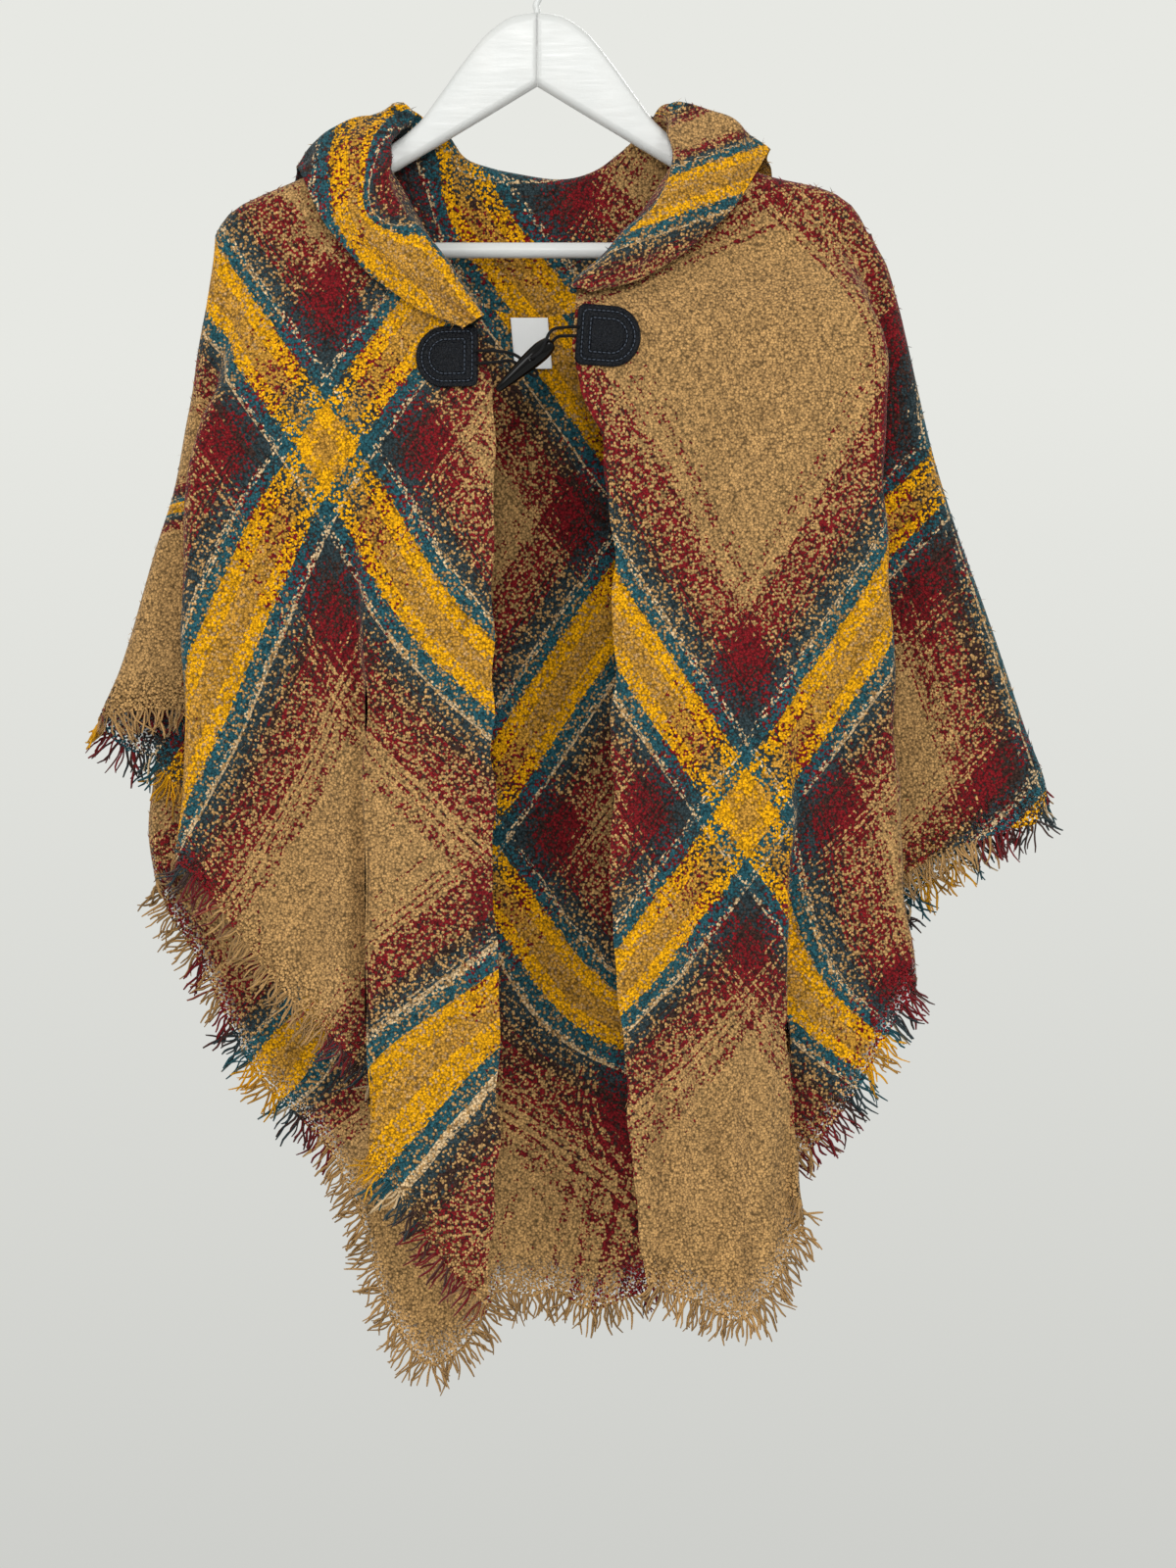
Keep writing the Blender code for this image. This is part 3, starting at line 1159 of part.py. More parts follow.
def arm_ring(side, q, top, bottom, depth):
    """Rounded upright section of a hanger arm."""
    half = 0.5 * depth
    height = 0.5 * (top - bottom)
    soft = min(ARM_ROUND, half * 0.94, height * 0.8)
    ring = []
    for sign_y, sign_z, start in ((1, 1, 0.0), (-1, 1, 90.0), (-1, -1, 180.0), (1, -1, 270.0)):
        for k in range(4):
            angle = math.radians(start + 30.0 * k)
            y = sign_y * (half - soft) + soft * math.cos(angle)
            z = 0.5 * (top + bottom) + sign_z * (height - soft) + soft * math.sin(angle)
            ring.append((side * q, y, z))
    return ring


BAR_CUT = cylinder_cutter("bar_socket", (0.0, 0.0, BAR_Z), BAR_RADIUS + SEAM_GAP,
                          2.0 * (BAR_HALF + SEAM_GAP), (0.0, math.pi / 2.0, 0.0))
STEM_DEPTH = 0.0220     # how far the hook's stem goes into the wood
STEM_CUT = cylinder_cutter("hook_socket", (0.0, 0.0, APEX_Z), HOOK_RADIUS + SEAM_GAP,
                           2.0 * (STEM_DEPTH + SEAM_GAP), (0.0, 0.0, 0.0))

for arm_name, arm_side in (("arm_right", -1.0), ("arm_left", 1.0)):
    rings = [arm_ring(arm_side, *row) for row in ARM_ROWS]
    arm = paint(loft(arm_name, rings), "white_wood", 0.35)
    cut(arm, BAR_CUT)
    cut(arm, STEM_CUT)

bm = bmesh.new()
bmesh.ops.create_cone(bm, cap_ends=True, segments=20, radius1=BAR_RADIUS, radius2=BAR_RADIUS,
                      depth=2.0 * BAR_HALF)
bar = new_mesh("bar")
bm.to_mesh(bar.data)
bm.free()
bar.location = (0.0, 0.0, BAR_Z)
bar.rotation_euler = (0.0, math.pi / 2.0, 0.0)
paint(bar, "white_wood", 0.35)

# Hook: stem up from the wood, round over the bearing point and down to a short end.
hook_centre = -HOOK_BEND
hook_line = [(0.0, 0.0, APEX_Z - STEM_DEPTH), (0.0, 0.0, APEX_Z + 0.004), (0.0, 0.0, APEX_Z + 0.010)]
HOOK_STEPS = 18
HOOK_START = -62.0
HOOK_SWEEP = 235.0
for k in range(HOOK_STEPS + 1):
    angle = math.radians(HOOK_START + HOOK_SWEEP * k / HOOK_STEPS)
    reach = HOOK_BEND + HOOK_RADIUS
    hook_line.append((reach * math.cos(angle), 0.0, hook_centre + reach * math.sin(angle)))
tube("hook", hook_line, HOOK_RADIUS, "white_wire")
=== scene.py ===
"""Looks of the hooded poncho on its white hanger, on the frame of its CAD model.

Metres, +Z up, origin at the bearing point inside the hook, -Y the front. Right and left are the wearer's.
"""

import math
from types import SimpleNamespace

import bpy
import bmesh
import numpy as np
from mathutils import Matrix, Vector
from mathutils.bvhtree import BVHTree


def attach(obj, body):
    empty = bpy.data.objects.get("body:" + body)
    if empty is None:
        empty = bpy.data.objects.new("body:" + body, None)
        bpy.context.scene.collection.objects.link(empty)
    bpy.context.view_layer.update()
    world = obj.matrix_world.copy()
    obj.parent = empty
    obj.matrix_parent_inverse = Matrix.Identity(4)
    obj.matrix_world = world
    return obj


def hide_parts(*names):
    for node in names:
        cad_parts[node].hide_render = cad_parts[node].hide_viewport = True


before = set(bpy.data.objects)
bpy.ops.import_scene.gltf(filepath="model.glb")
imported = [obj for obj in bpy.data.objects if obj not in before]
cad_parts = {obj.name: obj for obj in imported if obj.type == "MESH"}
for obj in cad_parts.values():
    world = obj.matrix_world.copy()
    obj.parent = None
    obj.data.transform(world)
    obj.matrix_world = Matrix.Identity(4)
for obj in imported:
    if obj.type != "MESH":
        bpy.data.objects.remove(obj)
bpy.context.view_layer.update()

CLOTH = 0.0025          # wall of the bouclé cloth in the solids
SHELL = 0.0022          # wall of the cloth drawn here
WRAP = 0.0105           # radius of the fold over the shoulder and along the side
WRAP_REACH = 2.5 * WRAP     # how far below the end of an arm that fold still draws the cloth in
PLEAT_RADIUS = 0.0045   # roll of the pleat beside the front opening
SIDE_RADIUS = 0.0065    # roll of the fold in front of each sleeve flap
BACK_RADIUS = 0.0060    # roll of the fold behind the right sleeve flap
ARC_SHARE = 0.4         # share of a fold's columns in each of its two turns
EDGE_ROLL = 0.0022      # how far the opening edges curl back
EDGE_ROLL_SHARE = 0.07  # share of the cloth inside the pleat that curls
LEAN_POWER = 1.6        # how fast the forward lean of an opening edge dies away
HEM_WAVE = 0.0016       # unevenness of the hems
HEM_GUESS, HEM_ROUNDS = -0.80, 30   # start and rounds of the search for the back's hem

ARM_TOP_LIFT = 0.0006   # room between an arm and the cloth on it
ARM_ROUND = 0.0066      # rounding of an arm's edges
BAR_RADIUS = 0.00535
BAR_Z = -0.2278
BAR_HALF = 0.1950
HOOK_RADIUS = 0.00235
HOOK_BEND = 0.0200
APEX_Z = -0.0650        # top of the hanger's arms
CORD_RADIUS = 0.0011

# Hanger arm from the middle outwards: distance, top and bottom edge, depth front to back.
ARM_NAMES = ("q", "top", "bottom", "depth")
ARM_ROWS = (
    (0.00015, -0.0650, -0.1159, 0.0140),
    (0.0150, -0.0672, -0.1249, 0.0140),
    (0.0320, -0.0775, -0.1352, 0.0140),
    (0.0490, -0.0972, -0.1454, 0.0140),
    (0.0660, -0.1206, -0.1556, 0.0140),
    (0.0820, -0.1415, -0.1653, 0.0140),
    (0.1050, -0.1585, -0.1792, 0.0140),
    (0.1300, -0.1690, -0.1958, 0.0140),
    (0.1600, -0.1815, -0.2160, 0.0140),
    (0.1850, -0.1935, -0.2345, 0.0140),
    (0.1980, -0.2012, -0.2380, 0.0125),
    (0.2065, -0.2080, -0.2365, 0.0098),
    (0.2115, -0.2150, -0.2320, 0.0062),
)
TIP_ROOM = 0.0036       # extra room of the cloth round the end of an arm
TIP_ROOM_START = 0.1650
TIP_OUT = 0.0033        # how far the cloth's corner lies beyond and below the end of an arm
TIP_DROP = 0.0065
TIP_SLOPE = 12.0        # fall of the cloth's top edge beyond that corner
TOP_HIGH = -0.150       # levels between which the cloth's top edge lies
TOP_LOW = -0.300
EDGE_INSET = 0.0012     # how far inside the opening edge a piece on a panel feels for the cloth

# One row for each level of a front panel. q is measured outwards from the middle of the hanger.
# lean: how far the opening edge stands forward; turns in degrees.
FRONT_NAMES = ("z", "open_q", "lean", "pleat_q", "pleat_turn", "pleat_mid",
               "side_q", "side_turn", "side_mid", "edge_q")
FRONT_RIGHT_ROWS = (
    (-0.150, 0.042, 0.012, 0.1260, 10, 0.004, 0.1960, 15, 0.004, 0.2180),
    (-0.222, 0.042, 0.017, 0.1250, 10, 0.004, 0.1960, 18, 0.004, 0.2205),
    (-0.257, 0.041, 0.022, 0.1240, 10, 0.004, 0.2000, 30, 0.008, 0.2250),
    (-0.299, 0.037, 0.018, 0.1230, 10, 0.004, 0.2090, 62, 0.011, 0.2325),
    (-0.325, 0.029, 0.011, 0.1210, 12, 0.004, 0.2170, 88, 0.015, 0.2360),
    (-0.346, 0.029, 0.008, 0.1200, 16, 0.004, 0.2260, 108, 0.019, 0.2400),
    (-0.390, 0.029, 0.004, 0.1190, 28, 0.004, 0.2355, 132, 0.024, 0.2480),
    (-0.432, 0.029, 0.002, 0.1180, 48, 0.005, 0.2385, 150, 0.028, 0.2610),
    (-0.513, 0.029, 0.000, 0.1180, 80, 0.006, 0.2385, 165, 0.036, 0.2850),
    (-0.553, 0.029, 0.000, 0.1180, 92, 0.007, 0.2390, 169, 0.040, 0.3020),
    (-0.650, 0.029, 0.000, 0.1180, 110, 0.009, 0.2445, 172, 0.046, 0.3300),
    (-0.727, 0.025, 0.000, 0.1180, 126, 0.010, 0.2450, 172, 0.046, 0.3300),
    (-0.861, 0.027, 0.000, 0.1140, 148, 0.012, 0.2450, 172, 0.046, 0.3300),
    (-0.960, 0.036, 0.000, 0.1110, 152, 0.012, 0.2450, 172, 0.046, 0.3300),
)
FRONT_LEFT_ROWS = (
    (-0.150, 0.028, 0.014, 0.1560, 10, 0.004, 0.1960, 15, 0.004, 0.2200),
    (-0.222, 0.028, 0.020, 0.1580, 10, 0.004, 0.1970, 20, 0.004, 0.2250),
    (-0.246, 0.028, 0.024, 0.1590, 10, 0.004, 0.2080, 48, 0.008, 0.2360),
    (-0.274, 0.026, 0.024, 0.1600, 10, 0.004, 0.2240, 90, 0.013, 0.2440),
    (-0.294, 0.025, 0.020, 0.1610, 10, 0.004, 0.2310, 106, 0.016, 0.2490),
    (-0.325, 0.029, 0.014, 0.1620, 10, 0.004, 0.2345, 120, 0.020, 0.2570),
    (-0.365, 0.046, 0.008, 0.1640, 10, 0.004, 0.2350, 136, 0.025, 0.2680),
    (-0.420, 0.051, 0.004, 0.1670, 12, 0.004, 0.2375, 150, 0.030, 0.2870),
    (-0.472, 0.053, 0.002, 0.1690, 20, 0.004, 0.2400, 160, 0.036, 0.3060),
    (-0.555, 0.052, 0.000, 0.1720, 46, 0.005, 0.2440, 168, 0.044, 0.3340),
    (-0.600, 0.051, 0.000, 0.1720, 66, 0.006, 0.2465, 170, 0.048, 0.3490),
    (-0.660, 0.050, 0.000, 0.1715, 92, 0.008, 0.2490, 172, 0.052, 0.3520),
    (-0.740, 0.056, 0.000, 0.1730, 116, 0.010, 0.2600, 172, 0.052, 0.3520),
    (-0.853, 0.066, 0.000, 0.1800, 146, 0.012, 0.2650, 172, 0.052, 0.3520),
    (-0.935, 0.075, 0.000, 0.1900, 152, 0.012, 0.2650, 172, 0.052, 0.3520),
)

# Neck hole and the height of the cloth's top edge along it.
NECK_RIGHT_ROWS = ((0.0405, -0.2790), (0.0620, -0.2510), (0.0800, -0.2230), (0.0940, -0.1960),
                   (0.1030, -0.1790), (0.1100, -0.1675))
NECK_LEFT_ROWS = ((0.0275, -0.2580), (0.0520, -0.2380), (0.0720, -0.2150), (0.0870, -0.1910),
                  (0.0950, -0.1760), (0.1020, -0.1640))
NECK_BACK_ROWS = ((-0.1100, -0.1680), (-0.1030, -0.1810), (-0.0920, -0.2040), (-0.0720, -0.2380),
                  (-0.0400, -0.2630), (0.0000, -0.2700), (0.0400, -0.2630), (0.0700, -0.2380),
                  (0.0870, -0.2010), (0.0950, -0.1780), (0.1020, -0.1645))
# Shares of the way along the neck hole, from the front opening to the shoulder, closer by the arm.
NECK_SHARES = (0.0, 0.26, 0.50, 0.68, 0.81, 0.89, 0.945, 0.98, 1.0)
NECK_SIDE_RIGHT = 0.1160
NECK_SIDE_LEFT = 0.1080

# Hem of each front panel: place across the panel, from 0 at the opening to 6 at the side fold, by way
# of the pleat (1 to 2) and the side fold (3 to 4), and the height of the cut edge there.
HEM_NAMES = ("c", "z")
HEM_RIGHT_ROWS = ((0.0, -0.9450), (0.3, -0.9250), (0.6, -0.8950), (1.0, -0.8550), (2.0, -0.7900),
                  (2.35, -0.7480), (2.7, -0.6960), (3.0, -0.6540), (4.0, -0.5860), (4.2, -0.5530),
                  (4.6, -0.5440), (6.0, -0.5450))
HEM_LEFT_ROWS = ((0.0, -0.9280), (0.3, -0.9430), (0.52, -0.9540), (0.8, -0.9270), (1.0, -0.8950),
                 (2.0, -0.8520), (2.5, -0.8060), (3.0, -0.7380), (4.0, -0.6950), (4.3, -0.6630),
                 (4.6, -0.6380), (6.0, -0.5950))

# Back panel: the fold behind the sleeve flap, and how far the middle stands out behind.
BACK_NAMES = ("z", "fold_q", "fold_turn", "fold_mid", "bulge")
BACK_ROWS = (
    (-0.150, -0.1950, 15, 0.004, 0.016),
    (-0.222, -0.1950, 18, 0.004, 0.024),
    (-0.299, -0.2050, 55, 0.006, 0.024),
    (-0.358, -0.2100, 105, 0.010, 0.014),
    (-0.432, -0.2140, 148, 0.020, 0.006),
    (-0.513, -0.2190, 167, 0.028, 0.003),
    (-0.563, -0.2210, 172, 0.033, 0.002),
    (-0.660, -0.2210, 172, 0.034, 0.000),
    (-0.990, -0.2210, 172, 0.034, 0.000),
)
HEM_BACK_SIDE_ROWS = ((0.0, -0.5450), (1.5, -0.5760), (2.0, -0.6120), (2.5, -0.6480), (3.0, -0.6700))
HEM_BACK_NAMES = ("x", "z")
HEM_BACK_ROWS = (
    (-0.262, -0.6700), (-0.232, -0.7190), (-0.193, -0.7950), (-0.146, -0.8430), (-0.122, -0.8920),
    (-0.107, -0.9490), (-0.092, -0.9780), (-0.074, -0.9960), (-0.056, -0.9890), (-0.040, -0.9680),
    (-0.026, -0.9450), (-0.006, -0.9500), (0.010, -0.9450), (0.036, -0.9560), (0.058, -0.9490),
    (0.100, -0.9180), (0.150, -0.8680), (0.200, -0.7960), (0.226, -0.7380), (0.248, -0.6840),
    (0.300, -0.6380), (0.342, -0.5950),
)

# Soft hanging folds: place across the panel, width, depth (+ is backwards), top and bottom level.
WAVE_RAMP = 0.45        # share of its height in which a fold grows to its full depth
WAVES_RIGHT = ((0.50, 0.26, 0.0050, -0.420, -0.980), (2.45, 0.22, 0.0055, -0.330, -0.980),
               (2.80, 0.14, -0.0030, -0.330, -0.980), (4.45, 0.22, 0.0030, -0.330, -0.980))
WAVES_LEFT = ((0.35, 0.20, 0.0050, -0.450, -0.980), (0.72, 0.16, -0.0040, -0.500, -0.980),
              (2.50, 0.30, 0.0045, -0.400, -0.980), (4.45, 0.22, 0.0035, -0.330, -0.980))
WAVES_BACK = ((3.16, 0.05, -0.0070, -0.450, -1.000), (3.30, 0.05, 0.0080, -0.450, -1.000),
              (3.42, 0.05, -0.0060, -0.500, -1.000), (3.56, 0.06, 0.0060, -0.450, -1.000),
              (3.72, 0.06, -0.0070, -0.400, -1.000), (3.86, 0.05, 0.0060, -0.350, -1.000))

# Hood lying down: one row for each section round the neck, from the wearer's right front end,
# by the back, to the left front end. crest: top of the roll; edge: where the outer fall ends.
# turn and back_up: the pouch at the back turns there and comes up again.
HOOD_NAMES = ("place", "crest_x", "crest_y", "crest_z", "edge_x", "edge_y", "edge_z",
              "puff", "turn", "back_up")
HOOD_ROWS = (
    (-1.00, -0.0365, -0.0560, -0.2770, -0.0500, -0.0500, -0.2850, 0.0005, 0, 0.000),
    (-0.84, -0.0500, -0.0560, -0.2600, -0.0780, -0.0390, -0.2720, 0.0030, 0, 0.000),
    (-0.70, -0.0740, -0.0490, -0.2260, -0.1040, -0.0300, -0.2550, 0.0050, 0, 0.000),
    (-0.60, -0.1000, -0.0400, -0.1980, -0.1320, -0.0270, -0.2280, 0.0060, 0, 0.000),
    (-0.55, -0.1030, -0.0280, -0.1720, -0.1500, -0.0230, -0.2040, 0.0070, 0, 0.000),
    (-0.525, -0.0985, -0.0170, -0.1500, -0.1600, -0.0170, -0.1770, 0.0080, 0, 0.000),
    (-0.50, -0.0920, -0.0060, -0.1340, -0.1650, 0.0020, -0.1690, 0.0080, 0, 0.000),
    (-0.46, -0.0810, 0.0050, -0.1310, -0.1620, 0.0240, -0.1790, 0.0100, 40, 0.000),
    (-0.42, -0.0715, 0.0140, -0.1410, -0.1550, 0.0420, -0.2060, 0.0110, 110, 0.004),
    (-0.36, -0.0600, 0.0240, -0.1500, -0.1430, 0.0580, -0.2600, 0.0110, 165, 0.030),
    (-0.30, -0.0480, 0.0310, -0.1610, -0.1260, 0.0680, -0.3150, 0.0100, 172, 0.080),
    (-0.15, -0.0270, 0.0410, -0.1690, -0.0680, 0.0780, -0.4050, 0.0080, 175, 0.150),
    (0.00, 0.0000, 0.0460, -0.1750, 0.0000, 0.0800, -0.4300, 0.0060, 176, 0.175),
    (0.15, 0.0300, 0.0410, -0.1730, 0.0680, 0.0780, -0.4050, 0.0080, 175, 0.150),
    (0.30, 0.0530, 0.0310, -0.1650, 0.1240, 0.0680, -0.3100, 0.0100, 172, 0.080),
    (0.36, 0.0625, 0.0240, -0.1560, 0.1400, 0.0580, -0.2540, 0.0110, 165, 0.030),
    (0.42, 0.0725, 0.0140, -0.1410, 0.1510, 0.0420, -0.1980, 0.0110, 110, 0.004),
    (0.46, 0.0810, 0.0050, -0.1320, 0.1570, 0.0240, -0.1720, 0.0100, 40, 0.000),
    (0.50, 0.0890, -0.0060, -0.1300, 0.1580, 0.0020, -0.1600, 0.0080, 0, 0.000),
    (0.525, 0.0930, -0.0170, -0.1430, 0.1520, -0.0150, -0.1720, 0.0080, 0, 0.000),
    (0.55, 0.0950, -0.0280, -0.1620, 0.1400, -0.0240, -0.1940, 0.0070, 0, 0.000),
    (0.60, 0.0880, -0.0420, -0.1930, 0.1240, -0.0310, -0.2120, 0.0060, 0, 0.000),
    (0.70, 0.0640, -0.0540, -0.2210, 0.1010, -0.0370, -0.2330, 0.0050, 0, 0.000),
    (0.84, 0.0420, -0.0620, -0.2430, 0.0720, -0.0490, -0.2510, 0.0030, 0, 0.000),
    (1.00, 0.0235, -0.0660, -0.2570, 0.0370, -0.0620, -0.2620, 0.0005, 0, 0.000),
)
POUCH_RADIUS = 0.0110

# Horn toggle along its length: distance from the thick end and radius.
TOGGLE_ROWS = ((0.0000, 0.0030), (0.0030, 0.0052), (0.0110, 0.0066), (0.0200, 0.0062),
               (0.0320, 0.0048), (0.0430, 0.0032), (0.0500, 0.0019))


def table(names, rows):
    """Columns of a table by name."""
    data = np.array(rows, dtype=float)
    return {name: data[:, i] for i, name in enumerate(names)}


def soft_line(xs, ys, x):
    """Smooth curve through the rows of a table that does not overshoot them."""
    xs = np.asarray(xs, float)
    ys = np.asarray(ys, float)
    step = np.diff(xs)
    slope = np.diff(ys) / step
    tangent = np.zeros(len(xs))
    product = slope[:-1] * slope[1:]
    total = slope[:-1] + slope[1:]
    same = product > 0.0
    tangent[1:-1][same] = 2.0 * product[same] / total[same]
    tangent[0] = slope[0]
    tangent[-1] = slope[-1]
    x = np.clip(np.asarray(x, float), xs[0], xs[-1])
    i = np.clip(np.searchsorted(xs, x) - 1, 0, len(xs) - 2)
    t = (x - xs[i]) / step[i]
    a = (1.0 + 2.0 * t) * (1.0 - t) ** 2
    b = t * (1.0 - t) ** 2
    c = t * t * (3.0 - 2.0 * t)
    d = t * t * (t - 1.0)
    return a * ys[i] + b * step[i] * tangent[i] + c * ys[i + 1] + d * step[i] * tangent[i + 1]


def level(rows, name, z):
    """Value of a named column at height z, for tables that run downwards."""
    return soft_line(-rows["z"], rows[name], -z)


def ease(t):
    t = np.clip(t, 0.0, 1.0)
    return t * t * (3.0 - 2.0 * t)


def lerp(a, b, t):
    return a + (b - a) * t


def below(z, top, run):
    """Share of the way, from 0 to 1, that a run downwards from a level has gone at height z."""
    return ease((top - z) / run)


def fold_run(turn, radius, mid, t):
    """Place along a fold lying over: a turn back, a straight layer, a turn forward again."""
    first = turn * np.clip(t / ARC_SHARE, 0.0, 1.0)
    part = mid * np.clip((t - ARC_SHARE) / (1.0 - 2.0 * ARC_SHARE), 0.0, 1.0)
    last = turn * np.clip((1.0 - t) / ARC_SHARE, 0.0, 1.0)
    out = radius * np.sin(turn)
    back = radius * (1.0 - np.cos(turn))
    out_end = 2.0 * out + mid * np.cos(turn)
    back_end = back + mid * np.sin(turn) - radius * np.cos(turn)
    sides = [t <= ARC_SHARE, t < 1.0 - ARC_SHARE]
    q = np.select(sides, [radius * np.sin(first), out + part * np.cos(turn)], out_end - radius * np.sin(last))
    y = np.select(sides, [radius * (1.0 - np.cos(first)), back + part * np.sin(turn)],
                  back_end + radius * np.cos(last))
    run = radius * first + part + radius * (turn - last)
    return q, y, run


def add_fold(size, name, radius):
    """Shape, start, end, depth and hidden cloth of a panel's fold, from its place, turn and middle layer."""
    q, turn, mid = (getattr(size, name + part) for part in ("_q", "_turn", "_mid"))
    turn = np.radians(turn)
    reach = radius * np.sin(np.minimum(turn, math.pi / 2.0))
    fold = SimpleNamespace(shape=(turn, radius, mid), start=q - reach)
    out, fold.back, run = fold_run(*fold.shape, np.ones(np.shape(turn)))
    fold.end = fold.start + out
    fold.hides = run - out
    setattr(size, name, fold)


def read_levels(rows, z):
    """Every column of a table at height z."""
    return SimpleNamespace(**{name: level(rows, name, z) for name in rows})


ARM = table(ARM_NAMES, ARM_ROWS)
FIRST_COVERED = 4       # first row of the arm's table that the cloth lies on


def shoulder_line():
    """Outer face of the cloth along the top of a hanger arm, as q and z."""
    q = ARM["q"]
    z = ARM["top"]
    line = []
    for i in range(FIRST_COVERED, len(q)):
        room = TIP_ROOM * ease((q[i] - TIP_ROOM_START) / (q[-1] - TIP_ROOM_START))
        lift = CLOTH + ARM_TOP_LIFT + room
        high = min(i + 1, len(q) - 1)
        run = math.hypot(q[high] - q[i - 1], z[high] - z[i - 1])
        line.append((q[i] - (z[high] - z[i - 1]) / run * lift, z[i] + (q[high] - q[i - 1]) / run * lift))
    line.append((line[-1][0] + TIP_OUT, line[-1][1] - TIP_DROP))
    return np.array(line)


SHOULDER = shoulder_line()
TIP_Q, TIP_Z = SHOULDER[-1]


def shoulder_height(q):
    return np.interp(q, SHOULDER[:, 0], SHOULDER[:, 1])


def shoulder_distance(q, z, start):
    """Shortest way in the picture plane from a point to the shoulder fold, outwards of start."""
    best = np.ones(np.broadcast(q, z).shape)
    for (q0, z0), (q1, z1) in zip(SHOULDER[:-1], SHOULDER[1:]):
        if q1 <= start:
            continue
        if q0 < start:
            z0 = lerp(z0, z1, (start - q0) / (q1 - q0))
            q0 = start
        run = (q1 - q0) ** 2 + (z1 - z0) ** 2
        t = np.clip(((q - q0) * (q1 - q0) + (z - z0) * (z1 - z0)) / run, 0.0, 1.0)
        best = np.minimum(best, np.hypot(q - lerp(q0, q1, t), z - lerp(z0, z1, t)))
    return best


def beyond_tip(q):
    """Height of the cloth's top edge outside the end of an arm."""
    return np.maximum(TIP_Z - TIP_SLOPE * (q - TIP_Q), TIP_Z - 0.5 * WRAP)


def over_shoulder(y, z, distance, edge):
    """Depth of the cloth where it bends round towards the shoulder fold; edge columns only meet it."""
    u = np.minimum(distance / WRAP, 1.0)
    share = np.sqrt(np.maximum(1.0 - (1.0 - u) ** 2, 0.0))
    bent = np.where(edge, np.clip(y, -WRAP * share, WRAP * share), y * share)
    return np.where(z > TIP_Z - WRAP_REACH, bent, y)


def wave_depth(rows, c, z):
    total = np.zeros(np.broadcast(c, z).shape)
    for place, width, depth, top, bottom in rows:
        fade = ease((top - z) / (WAVE_RAMP * (top - bottom)))
        total += depth * fade * np.exp(-((c - place) / width) ** 2)
    return total


def search_top(panel, c):
    """Height at which each column meets the cloth's top edge."""
    high = np.full(c.shape, TOP_HIGH)
    low = np.full(c.shape, TOP_LOW)
    for _ in range(40):
        z = 0.5 * (high + low)
        above = z > panel.top(panel.flat(c, z)[0])
        high = np.where(above, z, high)
        low = np.where(above, low, z)
    return 0.5 * (high + low)


class FrontPanel:
    """One front of the poncho, from its opening edge to the side fold."""

    def __init__(self, side, rows, neck, neck_side, hem, waves):
        self.side = side
        self.rows = table(FRONT_NAMES, rows)
        self.neck_q, self.neck_z = np.array(neck + ((neck_side, shoulder_height(neck_side)),)).T
        self.neck_side = neck_side
        self.hem = table(HEM_NAMES, hem)
        self.waves = waves

    def top(self, q):
        """Height of the cloth's top edge."""
        return np.select([q < self.neck_side, q > TIP_Q],
                         [soft_line(self.neck_q, self.neck_z, q), beyond_tip(q)], shoulder_height(q))

    def sizes(self, z):
        size = read_levels(self.rows, z)
        add_fold(size, "pleat", PLEAT_RADIUS)
        add_fold(size, "side", SIDE_RADIUS)
        size.y_main = -WRAP - size.side.back
        size.y_open = size.y_main - size.pleat.back
        return size

    def flat(self, c, z):
        """Place (q, y) of column c at height z before the shoulder bend, the cloth's own run to it, and the
        run with the folds left out."""
        s = self.sizes(z)
        pleat, side, flap_end = s.pleat, s.side, s.edge_q - WRAP
        part = np.minimum(np.floor(c), 5.0)
        f = c - part
        pleat_q, pleat_y, pleat_run = fold_run(*pleat.shape, f)
        side_q, side_y, side_run = fold_run(*side.shape, f)
        inner_y = s.y_open - s.lean * (1.0 - np.clip(f, 0.0, 1.0)) ** LEAN_POWER
        inner_y = inner_y + EDGE_ROLL * np.clip(1.0 - f / EDGE_ROLL_SHARE, 0.0, 1.0) ** 2
        angle = f * math.pi / 2.0
        parts = [part == k for k in range(5)]
        q = np.select(parts, [lerp(s.open_q, pleat.start, f), pleat.start + pleat_q,
                              lerp(pleat.end, side.start, f), side.start + side_q,
                              lerp(side.end, flap_end, f)], flap_end + WRAP * np.sin(angle))
        y = np.select(parts, [inner_y, s.y_open + pleat_y, s.y_main, s.y_main + side_y,
                              np.full(q.shape, -WRAP)], -WRAP * np.cos(angle))
        y = y + np.where(part < 5, wave_depth(self.waves, c, z), 0.0)
        reach = np.where(part < 5, q, flap_end + WRAP * angle)
        run = np.select(parts[:4], [q, pleat.start + pleat_run, q + pleat.hides,
                                    side.start + pleat.hides + side_run], reach + pleat.hides + side.hides)
        return q, y, run, reach

    def point(self, c, z):
        q, y, run, reach = self.flat(c, z)
        y = over_shoulder(y, z, shoulder_distance(q, z, self.neck_side), c > 5.0)
        return np.stack((self.side * q, y, z), axis=-1), self.side * run, self.side * reach

    def column_at_neck(self, q):
        s = self.sizes(self.top(q))
        return np.clip((q - s.open_q) / (s.pleat.start - s.open_q), 0.0, 1.0)

    def hems(self, c):
        return soft_line(self.hem["c"], self.hem["z"], c)


